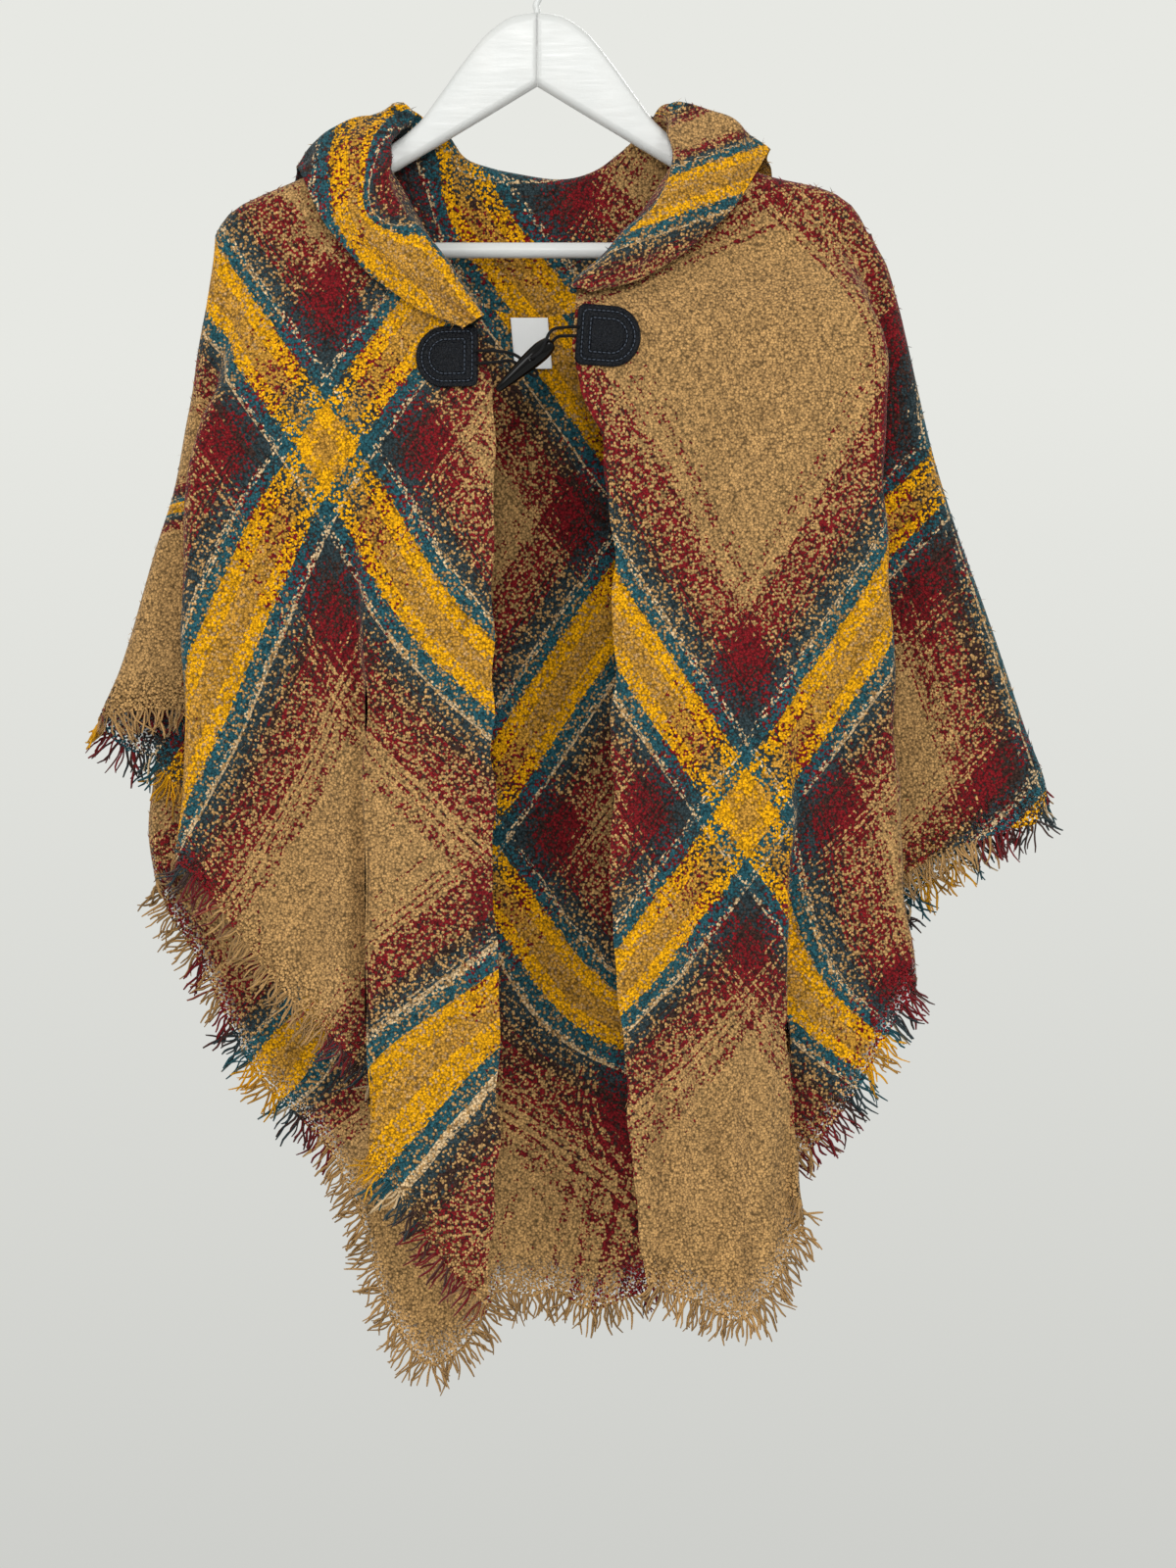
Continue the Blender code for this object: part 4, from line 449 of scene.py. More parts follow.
class BackPanel:
    """The back of the poncho, from one side fold to the other."""

    def __init__(self, right, left):
        self.right = right
        self.left = left
        self.rows = table(BACK_NAMES, BACK_ROWS)
        ends = [(x, shoulder_height(abs(x))) for x in (-NECK_SIDE_RIGHT, NECK_SIDE_LEFT)]
        self.neck_x, self.neck_z = np.array((ends[0], *NECK_BACK_ROWS, ends[1])).T
        self.side_hem = table(HEM_NAMES, HEM_BACK_SIDE_ROWS)
        self.hem = table(HEM_BACK_NAMES, HEM_BACK_ROWS)

    def top(self, x):
        """Height of the cloth's top edge."""
        q = np.abs(x)
        neck = (-NECK_SIDE_RIGHT < x) & (x < NECK_SIDE_LEFT)
        return np.select([neck, q > TIP_Q], [soft_line(self.neck_x, self.neck_z, x), beyond_tip(q)],
                         shoulder_height(q))

    def sizes(self, z):
        size = read_levels(self.rows, z)
        size.right_end = WRAP - level(self.right.rows, "edge_q", z)
        size.left_end = level(self.left.rows, "edge_q", z) - WRAP
        add_fold(size, "fold", BACK_RADIUS)
        size.y_main = WRAP + size.fold.back
        return size

    def flat(self, c, z):
        """Place (x, y) of column c at height z before the shoulder bend, and the cloth's own run to it."""
        s = self.sizes(z)
        fold = s.fold
        part = np.minimum(np.floor(c), 4.0)
        f = c - part
        fold_x, fold_y, folded = fold_run(*fold.shape, f)
        right, left = (1.0 - f) * math.pi / 2.0, f * math.pi / 2.0
        main_y = lerp(s.y_main, WRAP, ease((f - 0.55) / 0.45))
        main_y = main_y + s.bulge * np.sin(math.pi * np.clip(f, 0.0, 1.0)) ** 2
        main_y = main_y - wave_depth(WAVES_BACK, c, z) * ease(f / 0.06) * ease((1.0 - f) / 0.06)
        parts = [part == k for k in range(4)]
        x = np.select(parts, [s.right_end - WRAP * np.sin(right), lerp(s.right_end, fold.start, f),
                              fold.start + fold_x, lerp(fold.end, s.left_end, f)],
                      s.left_end + WRAP * np.sin(left))
        y = np.select(parts, [WRAP * np.cos(right), np.full(x.shape, WRAP), WRAP + fold_y, main_y],
                      WRAP * np.cos(left))
        run = np.select(parts, [s.right_end - WRAP * right - fold.hides, x - fold.hides,
                                fold.start - fold.hides + folded, x], s.left_end + WRAP * left)
        return x, y, run

    def point(self, c, z):
        x, y, run = self.flat(c, z)
        right, left = (shoulder_distance(np.abs(x), z, side) for side in (NECK_SIDE_RIGHT, NECK_SIDE_LEFT))
        y = over_shoulder(y, z, np.where(x < 0.0, right, left), (c < 1.0) | (c > 4.0))
        return np.stack((x, y, z), axis=-1), run

    def column_at_top(self, x):
        s = self.sizes(self.top(x))
        return 3.0 + (x - s.fold.end) / (s.left_end - s.fold.end)

    def hems(self, c):
        z = np.full(c.shape, HEM_GUESS)
        for _ in range(HEM_ROUNDS):
            x = self.flat(np.minimum(c, 5.0), z)[0]
            z = lerp(z, soft_line(self.hem["x"], self.hem["z"], x), 0.5)
        z = np.where(c <= 3.0, soft_line(self.side_hem["c"], self.side_hem["z"], c), z)
        return np.where(c >= 5.0, self.left.hems(np.full(c.shape, 6.0)), z)


right_panel = FrontPanel(-1.0, FRONT_RIGHT_ROWS, NECK_RIGHT_ROWS, NECK_SIDE_RIGHT, HEM_RIGHT_ROWS,
                         WAVES_RIGHT)
left_panel = FrontPanel(1.0, FRONT_LEFT_ROWS, NECK_LEFT_ROWS, NECK_SIDE_LEFT, HEM_LEFT_ROWS, WAVES_LEFT)
back_panel = BackPanel(right_panel, left_panel)


def waviness(u, v, seed, size, height):
    """Soft uneven rise and fall, the same at every run."""
    rng = np.random.default_rng(seed)
    total = np.zeros(np.broadcast(u, v).shape)
    for _ in range(9):
        angle = rng.uniform(0.0, math.pi)
        wave = 2.0 * math.pi / (size * rng.uniform(0.7, 1.6))
        total += np.sin(wave * (u * math.cos(angle) + v * math.sin(angle)) + rng.uniform(0.0, 6.28))
    return height * total / 2.1


def unit(v):
    return v / np.maximum(np.linalg.norm(v, axis=-1, keepdims=True), 1e-12)


def grid_normals(grid, at, way):
    """Unit normals of a grid of points, which at one of them face the front (-1) or the back (1)."""
    normals = unit(np.cross(np.gradient(grid, axis=1), np.gradient(grid, axis=0)))
    return normals * (way * np.sign(normals[at][1]))


def in_picture_plane(line):
    """Directions square to a fold line, lying in the picture plane and pointing up or out."""
    run = np.gradient(line, axis=0)
    flat = unit(np.stack((-run[:, 2], np.zeros(len(run)), run[:, 0]), axis=1))
    return np.where(flat[:, 2:3] < 0.0, -flat, flat)


def crease_depth(rows, c, x, z):
    """Sum of creases: both ends (x, z), half width, depth (+ is inwards), columns if not all."""
    total = np.zeros(x.shape)
    for x0, z0, x1, z1, width, depth, *columns in rows:
        first, last = columns or (0, 6)
        run = (x1 - x0) ** 2 + (z1 - z0) ** 2
        t = ((x - x0) * (x1 - x0) + (z - z0) * (z1 - z0)) / run
        inside = np.clip(t, 0.0, 1.0)
        away = np.hypot(x - lerp(x0, x1, inside), z - lerp(z0, z1, inside))
        fade = np.sqrt(np.clip(np.sin(math.pi * np.clip(inside, 0.02, 0.98)), 0.0, 1.0))
        total += np.where((c >= first) & (c <= last), depth * fade * np.exp(-(away / width) ** 2), 0.0)
    return total


ROW_DROPS = np.array((0.0, 0.0006, 0.0016, 0.0032, 0.0054, 0.0080, 0.0110, 0.0145))
DROP_ROWS = 165         # rows of a panel below those
DROP_POWER = 1.08       # how much closer together they are higher up
NECK_FINE = np.interp(np.arange(0.0, 8.01, 0.2), np.arange(9.0), NECK_SHARES)
SPOT_ROW = 60           # row and, in front, column at which a panel's way of facing is read
FRONT_SPOT = (SPOT_ROW, 6)
CALM_TOP, CALM_RUN = 0.004, 0.05    # the creases start this far below the top edge and grow over this run
LOFT = np.array((0.5, 0.0, 0.87)) * 0.0075      # how the cloth stands off the left end of the hanger
LOFT_X, LOFT_X_RUN = 0.150, 0.05    # where that starts, outwards and upwards, and the run in which it grows
LOFT_Z, LOFT_Z_RUN = -0.44, 0.17


def steps(*runs):
    """Even steps of several runs (from, to, count), each without its last one."""
    return np.concatenate([np.linspace(*run)[:-1] for run in runs])


def levels(top, hem):
    """Height of every row of every column, close together at the shoulder."""
    t = (np.arange(1, DROP_ROWS + 1) / DROP_ROWS)[:, None] ** DROP_POWER
    return np.concatenate((top - ROW_DROPS[:, None], lerp(top - ROW_DROPS[-1], hem, t)))


def lofted(grid):
    """Cloth standing a little off the left end of the hanger."""
    share = ease((grid[..., 0] - LOFT_X) / LOFT_X_RUN) * ease((grid[..., 2] - LOFT_Z) / LOFT_Z_RUN)
    return grid + share[..., None] * LOFT


def hang_front(panel, seed, creases):
    """Outer points, normals and places along the cloth of a front panel."""
    neck = panel.column_at_neck(lerp(panel.neck_q[0], panel.neck_side, NECK_FINE))
    neck[0] = 0.0
    first = len(neck) - 1
    after = steps((neck[-1], 1.0, 14), (1.0, 2.0, 26), (2.0, 3.0, 40), (3.0, 4.0, 40), (4.0, 5.0, 24),
                  (5.0, 6.0, 11))
    columns = np.concatenate((neck[:-1], after, [6.0]))
    top = search_top(panel, columns)
    z = levels(top, panel.hems(columns) + waviness(columns, 0.0, seed, 0.8, HEM_WAVE))
    c = np.broadcast_to(columns, z.shape)
    grid, run, reach = panel.point(c, z)
    grid[0, first:, 1] = 0.0
    grid[:, -1, 1] = 0.0
    calm = below(z, top - CALM_TOP, CALM_RUN) * ease((5.6 - c) / 0.8) * (0.35 + 0.65 * ease(c / 0.12))
    sink = crease_depth(creases, c, grid[..., 0], z) + waviness(run, z, seed + 1, 0.075, 0.0009)
    grid = lofted(grid - grid_normals(grid, FRONT_SPOT, -1.0) * (sink * calm)[..., None])
    grid[..., 0] += waviness(z, 0.0, seed + 2, 0.05, 0.0010) * ease(1.0 - c / 0.25) * below(z, top, 0.03)
    normals = grid_normals(grid, FRONT_SPOT, -1.0)
    normals[0, first:] = in_picture_plane(grid[0, first:])
    normals[1:, -1] = in_picture_plane(grid[:, -1])[1:]
    return SimpleNamespace(grid=grid, normals=normals, c=c, z=z, run=run, reach=reach)


def hang_back(panel, seed, creases):
    """Outer points, normals and places along the cloth of the back panel, and its neck columns."""
    neck_x = np.concatenate((-NECK_SIDE_RIGHT * NECK_FINE[::-1], NECK_SIDE_LEFT * NECK_FINE[1:]))
    neck = panel.column_at_top(neck_x)
    before = steps((0.0, 1.0, 11), (1.0, 2.0, 22), (2.0, 3.0, 36), (3.0, neck[0], 22))
    columns = np.concatenate((before, neck[:-1], steps((neck[-1], 4.0, 44), (4.0, 5.0, 11)), [5.0]))
    start, end = len(before), len(before) + len(neck) - 1
    spot = (SPOT_ROW, (start + end) // 2)
    top = search_top(panel, columns)
    uneven = waviness(columns, 0.0, seed, 0.5, HEM_WAVE) * ease((5.0 - columns) / 0.4)
    z = levels(top, panel.hems(columns) + uneven)
    c = np.broadcast_to(columns, z.shape)
    grid, run = panel.point(c, z)
    grid[0, :start + 1, 1] = 0.0
    grid[0, end:, 1] = 0.0
    grid[:, (0, -1), 1] = 0.0
    calm = below(z, top - CALM_TOP, CALM_RUN) * ease((c - 0.4) / 0.8) * ease((4.6 - c) / 0.4)
    sink = crease_depth(creases, c, grid[..., 0], z) + waviness(run, z, seed + 1, 0.085, 0.0012)
    grid = lofted(grid - grid_normals(grid, spot, 1.0) * (sink * calm)[..., None])
    normals = grid_normals(grid, spot, 1.0)
    normals[0, 1:start + 1] = in_picture_plane(grid[0, :start + 1])[1:]
    normals[0, end:-1] = in_picture_plane(grid[0, end:])[:-1]
    for side in (0, -1):
        normals[:, side] = in_picture_plane(grid[:, side])
    return SimpleNamespace(grid=grid, normals=normals, c=c, z=z, run=run, neck=slice(start, end + 1))


# Creases of each panel, see crease_depth.
CREASES_RIGHT = (
    (-0.200, -0.240, -0.172, -0.520, 0.018, 0.0042), (-0.232, -0.330, -0.216, -0.620, 0.014, -0.0035),
    (-0.092, -0.360, -0.116, -0.860, 0.016, 0.0060), (-0.060, -0.400, -0.076, -1.000, 0.012, -0.0045),
    (-0.148, -0.560, -0.150, -0.940, 0.012, 0.0050), (-0.128, -0.600, -0.134, -0.960, 0.010, -0.0040),
    (-0.150, -0.450, -0.166, -0.720, 0.015, 0.0036),
    (-0.262, -0.360, -0.285, -0.540, 0.010, 0.0030, 3.5, 6),
    (-0.062, -0.330, -0.130, -0.400, 0.010, 0.0024, 0, 1),
    (-0.140, -0.235, -0.120, -0.340, 0.016, -0.0030),
)
CREASES_LEFT = (
    (0.150, -0.220, 0.122, -0.550, 0.020, 0.0045), (0.200, -0.260, 0.186, -0.600, 0.016, -0.0036),
    (0.086, -0.380, 0.090, -0.860, 0.015, 0.0045), (0.112, -0.500, 0.108, -1.040, 0.011, -0.0045),
    (0.134, -0.640, 0.126, -0.960, 0.012, 0.0065), (0.092, -0.760, 0.088, -1.080, 0.010, 0.0055),
    (0.172, -0.700, 0.180, -1.060, 0.010, 0.0055), (0.152, -0.660, 0.154, -1.060, 0.009, -0.0045),
    (0.214, -0.420, 0.220, -0.720, 0.013, 0.0036), (0.285, -0.420, 0.310, -0.600, 0.012, 0.0030, 3.5, 6),
    (0.080, -0.310, 0.140, -0.365, 0.010, 0.0024, 0, 1),
    (0.262, -0.380, 0.285, -0.640, 0.010, -0.0026, 3.5, 6),
)
CREASES_BACK = (
    (-0.130, -0.300, -0.150, -0.800, 0.022, 0.0050, 3, 4),
    (-0.050, -0.420, -0.060, -0.930, 0.018, -0.0045, 3, 4),
    (0.030, -0.380, 0.036, -0.920, 0.022, 0.0050, 3, 4),
    (0.110, -0.320, 0.122, -0.860, 0.018, -0.0045, 3, 4),
    (0.180, -0.280, 0.202, -0.740, 0.020, 0.0050, 3, 4),
    (0.240, -0.360, 0.272, -0.620, 0.016, -0.0040, 3, 4),
    (-0.100, -0.240, 0.000, -0.330, 0.014, 0.0030, 3, 4),
    (0.100, -0.240, 0.012, -0.340, 0.014, 0.0030, 3, 4),
    (-0.235, -0.330, -0.262, -0.560, 0.012, 0.0030, 1, 2),
)

right = hang_front(right_panel, 11, CREASES_RIGHT)
left = hang_front(left_panel, 23, CREASES_LEFT)
back = hang_back(back_panel, 37, CREASES_BACK)


def run_length(line):
    """Distance along a line of points, from its start to each of them."""
    return np.concatenate(([0.0], np.cumsum(np.linalg.norm(np.diff(line, axis=0), axis=1))))


def along_line(line, at):
    """Points at given distances along a line."""
    run = run_length(line)
    return np.stack([np.interp(at, run, line[:, k]) for k in range(line.shape[1])], axis=1)


def spline(points, count):
    """Even points on a smooth curve through a few given ones."""
    pts = [2.0 * points[0] - points[1]] + list(points) + [2.0 * points[-1] - points[-2]]
    t = np.linspace(0.0, 1.0, 12, endpoint=False)[:, None]
    fine = []
    for a, b, c, d in zip(pts[:-3], pts[1:-2], pts[2:-1], pts[3:]):
        fine.append(0.5 * (2.0 * b + (c - a) * t + (2.0 * a - 5.0 * b + 4.0 * c - d) * t * t
                           + (3.0 * b - a - 3.0 * c + d) * t ** 3))
    fine.append(np.asarray(points[-1])[None])
    fine = np.concatenate(fine)
    return along_line(fine, np.linspace(0.0, run_length(fine)[-1], count + 1))


HOOD = table(HOOD_NAMES, HOOD_ROWS)
HOOD_FOOT = 0.0030      # straight stretch of the hood above the neck seam
HOOD_ROLL = 0.0090      # radius of the roll at the top
HOOD_SMOOTHING = 14     # rounds of evening out between neighbouring sections
SHOULDER_LEAD = np.array((0.78, 0.0, 0.62))
STAND_STOPS = np.linspace(0.0, 1.0, 15)
ROLL_STOPS = np.linspace(0.0, 1.0, 17)[1:-1]
FALL_STOPS = np.linspace(0.0, 1.0, 27)
TURN_STOPS = np.linspace(0.0, 1.0, 13)[1:]
RISE_STOPS = np.linspace(0.0, 1.0, 13)[1:]


def hood_row(name, place):
    """Value of a column of the hood's table at a place round the neck."""
    return soft_line(HOOD["place"], HOOD[name], place)


def hood_section(place, foot, lead):
    """One section of the hood: up from the neck seam, over the roll, down outside, and up again."""
    crest = np.array([hood_row("crest_" + k, place) for k in "xyz"])
    edge = np.array([hood_row("edge_" + k, place) for k in "xyz"])
    turn = math.radians(hood_row("turn", place))
    up = crest - foot
    height = np.linalg.norm(up)
    up /= height
    down = edge - crest
    reach = np.linalg.norm(down)
    down /= reach
    angle = math.acos(np.dot(up, down))
    side = unit(down - up * np.dot(up, down))
    radius = min(HOOD_ROLL, 0.3 * height, 0.3 * reach)
    first = crest - radius * (math.sin(0.5 * angle) * up + (1.0 - math.cos(0.5 * angle)) * side)
    turns = angle * np.append(ROLL_STOPS, 1.0)[:, None]
    roll = first + radius * (np.sin(turns) * up + (1.0 - np.cos(turns)) * side)
    stand = spline([foot, foot + lead * 0.10 * height, lerp(foot, first, 0.6), first], 60)
    facing = np.array((0.0, 1.0 - 2.0 * abs(place), 0.35 + 0.65 * (1.0 - abs(1.0 - 2.0 * abs(place)))))
    facing = unit(facing - down * np.dot(facing, down))
    fall = spline([roll[-1], lerp(roll[-1], edge, 0.5) + facing * hood_row("puff", place), edge], 60)
    run = unit(fall[-1] - fall[-2])
    out = np.array((0.3 * edge[0], edge[1] + 0.06, 0.0))
    out = unit(out - run * np.dot(out, run))
    bends = turn * np.linspace(0.0, 1.0, 25)[1:, None]
    turned = edge + POUCH_RADIUS * (run * np.sin(bends) + out * (1.0 - np.cos(bends)))
    heading = run * math.cos(turn) + out * math.sin(turn)
    line = np.concatenate((fall, turned, [turned[-1] + heading * hood_row("back_up", place)]))
    lengths = run_length(line)
    fallen, turned_end, end = lengths[len(fall) - 1], lengths[-2], lengths[-1]
    shaped = np.concatenate((fallen * FALL_STOPS, lerp(fallen, turned_end, TURN_STOPS),
                             lerp(turned_end, end, RISE_STOPS)))
    plain = end * np.linspace(0.0, 1.0, len(shaped))
    stops = lerp(plain, shaped, ease(turn / math.radians(90.0)))
    return np.concatenate((along_line(stand, run_length(stand)[-1] * STAND_STOPS), roll[:-1],
                           along_line(line, stops)))


def neck_ring():
    """Neck edge of the body panels: place round the neck, outer points, normals and next points down."""
    shares = 0.5 * NECK_FINE
    count = len(shares) - 1
    place = np.concatenate((shares[:-1] - 1.0, -shares[::-1], shares[1:], 1.0 - shares[-2::-1]))
    ring = [np.concatenate((getattr(right, kind)[row, :count], getattr(back, kind)[row, back.neck],
                            getattr(left, kind)[row, count - 1::-1]))
            for kind, row in (("grid", 0), ("normals", 0), ("grid", 2))]
    return place, *ring


def smooth_ring(values, rounds):
    for _ in range(rounds):
        values[1:-1] = 0.5 * values[1:-1] + 0.25 * (values[:-2] + values[2:])
    return values


CREST_ROW = 1 + len(STAND_STOPS) + len(ROLL_STOPS) // 2
FALLEN_ROW = CREST_ROW + len(ROLL_STOPS) // 2 + len(FALL_STOPS)
FOOT_FACING = (1.0, 0.9, 0.6, 0.3)      # how far the first rows still face as the neck edge does


def lay_hood():
    """Points, normals and places round the neck of the hood lying down."""
    place, outer, normal, next_down = neck_ring()
    normal = unit(smooth_ring(normal.copy(), 4))
    edge = outer - normal * SHELL
    lead = np.cross(np.gradient(edge, axis=0), normal)
    lead = unit(lead * np.sign(np.sum(lead * (outer - next_down), axis=1, keepdims=True)))
    near = ease(1.0 - np.abs(np.abs(place) - 0.5) / 0.045)[:, None]
    inward = SHOULDER_LEAD * np.stack((-np.sign(place), np.ones(len(place)), np.ones(len(place))), axis=1)
    lead = unit(smooth_ring(lerp(lead, inward, near), 4))
    grid = np.stack([np.vstack((start, hood_section(at, start + up * HOOD_FOOT, up)))
                     for at, start, up in zip(place, edge, lead)], axis=1)
    for _ in range(HOOD_SMOOTHING):
        grid[3:, 1:-1] = 0.5 * grid[3:, 1:-1] + 0.25 * (grid[3:, :-2] + grid[3:, 2:])
        grid[2, 1:-1] = 0.75 * grid[2, 1:-1] + 0.125 * (grid[2, :-2] + grid[2, 2:])
    spot = (CREST_ROW + 12, len(place) // 2)
    row = np.arange(len(grid))[:, None]
    rise = waviness(0.006 * np.arange(1, len(place) + 1), 0.004 * row, 53, 0.07, 0.0012)
    rise = rise * ease((row - 6.0) / 14.0)
    grid = grid + grid_normals(grid, spot, 1.0) * rise[..., None]
    normals = grid_normals(grid, spot, 1.0)
    for i, share in enumerate(FOOT_FACING):
        normals[i] = unit(lerp(normals[i], -normal, share))
    return SimpleNamespace(grid=grid, normals=normals, place=place)


hood = lay_hood()


def way_down(grid):
    """Way down the cloth from the top row to each point."""
    way = np.cumsum(np.linalg.norm(np.diff(grid, axis=0), axis=2), axis=0)
    return np.concatenate((np.zeros((1, grid.shape[1])), way))


HIGHEST, LOWEST = -0.10, -1.05      # levels that all the cloth lies between


def fall_of(slopes, zero):
    """Run of the slanting lines with height, h(z), zero at a given height."""
    levels_z = np.linspace(HIGHEST, LOWEST, 400)
    slope = soft_line([-z for z, _ in slopes], [m for _, m in slopes], -levels_z)
    total = np.concatenate(([0.0], np.cumsum(np.diff(levels_z) / (0.5 * (slope[1:] + slope[:-1])))))
    total -= np.interp(-zero, -levels_z, total)
    return lambda z: np.interp(-z, -levels_z, total)


PLAID = 0.31            # repeat of the check
# Steepness of the bands by height, and the height of a crossing.
RIGHT_FALL = fall_of(((-0.25, 1.40), (-0.36, 1.45), (-0.45, 1.95), (-0.53, 1.95), (-0.60, 1.6), (-0.70, 1.2),
                      (-0.75, 1.15), (-0.79, 1.8), (-0.85, 2.0), (-1.0, 2.0)), -0.365)
LEFT_FALL = fall_of(((-0.25, 2.2), (-0.45, 1.55), (-0.60, 1.45), (-0.74, 1.3), (-0.79, 2.2), (-0.85, 6.0),
                     (-1.0, 9.0)), -0.613)
BACK_FALL_S = fall_of(((-0.2, 1.40), (-0.60, 1.36), (-0.80, 1.30), (-0.87, 2.0), (-0.92, 5.0), (-1.0, 6.0)),
                      -0.7209)
BACK_FALL_T = fall_of(((-0.2, 1.5), (-0.55, 1.5), (-0.68, 1.35), (-0.77, 1.1), (-0.80, 3.0), (-0.84, 10.0),
                       (-1.0, 20.0)), -0.5273)


# The check. s and t say where a point lies across its two sets of bands; a band's middle is at 0 and every
# PLAID, the plain ground half-way between. Both rise with x or -x and fall with z along slanting lines, and
# are drawn aside where the folds of the hanging cloth bend the bands.
PLAIN = 0.5 * PLAID
RIGHT_CROSS, LEFT_CROSS, BACK_CROSS = -0.1427, 0.142, 0.0147     # runs at which two bands cross


def places_right():
    c, z = right.c, right.z
    aside = right.run - RIGHT_CROSS
    aside = aside - 0.4 * np.maximum(aside, 0.0) * below(z, -0.42, 0.18)
    s = RIGHT_FALL(z) + aside + 0.09 * below(z, -0.64, 0.14)
    s = s + 0.04 * ease(-aside / 0.06) * below(z, -0.54, 0.07)
    t = RIGHT_FALL(z) - aside
    flap = ease(c - 3.0) * below(z, -0.36, 0.09)
    out, drop = right.reach + 0.27, (z + 0.4858) / 3.0
    return lerp(s, PLAIN + out + drop, flap), lerp(t, PLAIN - out + drop, flap)


def places_left():
    c, z = left.c, left.z
    aside = left.run - LEFT_CROSS + 0.03 * ease(c - 1.0) * below(z, -0.60, 0.12)
    aside = aside * (1.0 - 0.55 * below(z, -0.72, 0.14))
    drawn = ease((z + 0.46) / 0.20)
    s = LEFT_FALL(z) + aside - drawn * np.maximum(0.038 + 0.42 * aside, 0.0)
    t = LEFT_FALL(z) - aside - drawn * np.maximum(0.020 - 0.80 * aside, 0.0)
    flap = ease(c - 3.0) * below(z, -0.30, 0.07)
    s_flap = 0.245 + (left.reach - 0.2693) + (z + 0.459) / 3.0
    t_flap = (z + 0.4007) - (left.reach - 0.2573)
    return lerp(s, s_flap, flap), lerp(t, t_flap, flap)


def places_back():
    c, z = back.c, back.z
    x = back.run - BACK_CROSS
    s = x * (1.0 - 0.6 * below(z, -0.70, 0.10)) + BACK_FALL_S(z)
    t = -x + 0.7 * np.clip(x, -0.10, 0.06) * below(z, -0.79, 0.08) + BACK_FALL_T(z)
    plain = ease((c - 2.1) / 0.3) * ease((3.08 - c) / 0.06) * below(z, -0.50, 0.06)
    return s, lerp(t, PLAIN + 0.4 * (z + 0.62), plain)


# How far outside the hood's roll the middle of a yellow band lies, by place round the neck.
HOOD_SHIFTS = ((-1.0, -0.5, 0.0, 0.40, 0.50, 0.60, 0.70, 0.84, 1.0),
               (0.018, 0.018, 0.026, 0.080, 0.082, 0.056, 0.034, 0.014, 0.004))
HOOD_CROSS = -0.38      # place round the neck at which a band crosses the roll
LAPEL_BAND = (0.0724, -0.1997, 0.381)   # x, z and slope of the band along the left lapel


def places_hood():
    """Bands along the roll, level ones behind, straight on the left lapel, slanting on the pouch."""
    place, x, z = hood.place, hood.grid[..., 0], hood.grid[..., 2]
    down = way_down(hood.grid)
    down = down - down[CREST_ROW]
    crest = run_length(hood.grid[CREST_ROW])
    s = down - soft_line(*HOOD_SHIFTS, place)
    t = 0.8 * (crest - np.interp(HOOD_CROSS, place, crest)) + 0.7 * np.minimum(down, 0.0)
    s = lerp(s, 0.75 * s, ease((-0.44 - place) / 0.10) * (down > 0.0))
    s = s - 0.055 * ease(1.0 - np.abs(place + 0.585) / 0.11) * ease(1.0 - np.abs(down) / 0.036)

    top = (CREST_ROW, place.tolist().index(0.0))
    turn = hood_row("turn", place)
    depth = z[top] - z
    depth[FALLEN_ROW:] = np.where(turn > 90.0, depth[FALLEN_ROW] + down[FALLEN_ROW:] - down[FALLEN_ROW],
                                  depth[FALLEN_ROW:])
    behind = ease((down - 0.016) / 0.04) * ease((0.47 - np.abs(place)) / 0.10)
    above = z - LAPEL_BAND[1] - LAPEL_BAND[2] * (x - LAPEL_BAND[0])
    across = np.where(above > 0.0, 1.9 * above + 4.5 * np.maximum(above - 0.019, 0.0),
                      above - 14.0 * above ** 2)
    lapel = ease((place - 0.42) / 0.10) * ease((down + 0.008) / 0.008)
    s = lerp(lerp(s, depth + s[top], behind), across, lapel)
    t = lerp(lerp(t, 0.8 * x + t[top], behind), 0.140 + 0.3 * x, lapel)

    hidden = hood_row("back_up", place)
    pouch = ease((down - down[FALLEN_ROW] + hidden) / np.maximum(hidden, 0.012)) * ease((turn - 50.0) / 60.0)
    slant = (z + 0.33) / 1.4
    return lerp(s, x + slant + 0.03, pouch), lerp(t, slant - x - 0.02, pouch)


for sheet, places in ((right, places_right), (left, places_left), (back, places_back)):
    way = way_down(sheet.grid)
    sheet.cloth = np.stack((*places(), way[-1] - way), axis=2)      # s, t and the way to the hem
hood.cloth = np.stack((*places_hood(), np.ones(hood.grid.shape[:2])), axis=2)


def add_mesh(name, points, faces, slot, material, nodes=(), cloth=None, normals=None):
    """Piece from points and faces, riding on the one body, that stands for some CAD nodes."""
    mesh = bpy.data.meshes.new(name)
    mesh.from_pydata(np.asarray(points).tolist(), [], [list(map(int, f)) for f in faces])
    mesh.polygons.foreach_set("use_smooth", np.ones(len(mesh.polygons), dtype=bool))
    if cloth is not None:
        layer = mesh.attributes.new("cloth", "FLOAT_VECTOR", "POINT")
        layer.data.foreach_set("vector", np.asarray(cloth, dtype=np.float32).ravel())
    mesh.update()
    if normals is not None:
        mesh.normals_split_custom_set_from_vertices(np.asarray(normals).tolist())
    mesh.materials.append(material)
    thing = bpy.data.objects.new(name, mesh)
    bpy.context.scene.collection.objects.link(thing)
    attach(thing, "root")
    if nodes:
        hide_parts(*nodes)
    return thing


def joined(parts):
    """Several meshes (points, faces, places) as one."""
    starts = np.cumsum([0] + [len(points) for points, _, _ in parts])
    faces = [np.asarray(face) + start for (_, some, _), start in zip(parts, starts) for face in some]
    return np.concatenate([p[0] for p in parts]), faces, np.concatenate([p[2] for p in parts])


def grid_faces(index):
    """Quads of a grid of point numbers."""
    return np.stack((index[:-1, :-1], index[:-1, 1:], index[1:, 1:], index[1:, :-1]), axis=-1).reshape(-1, 4)


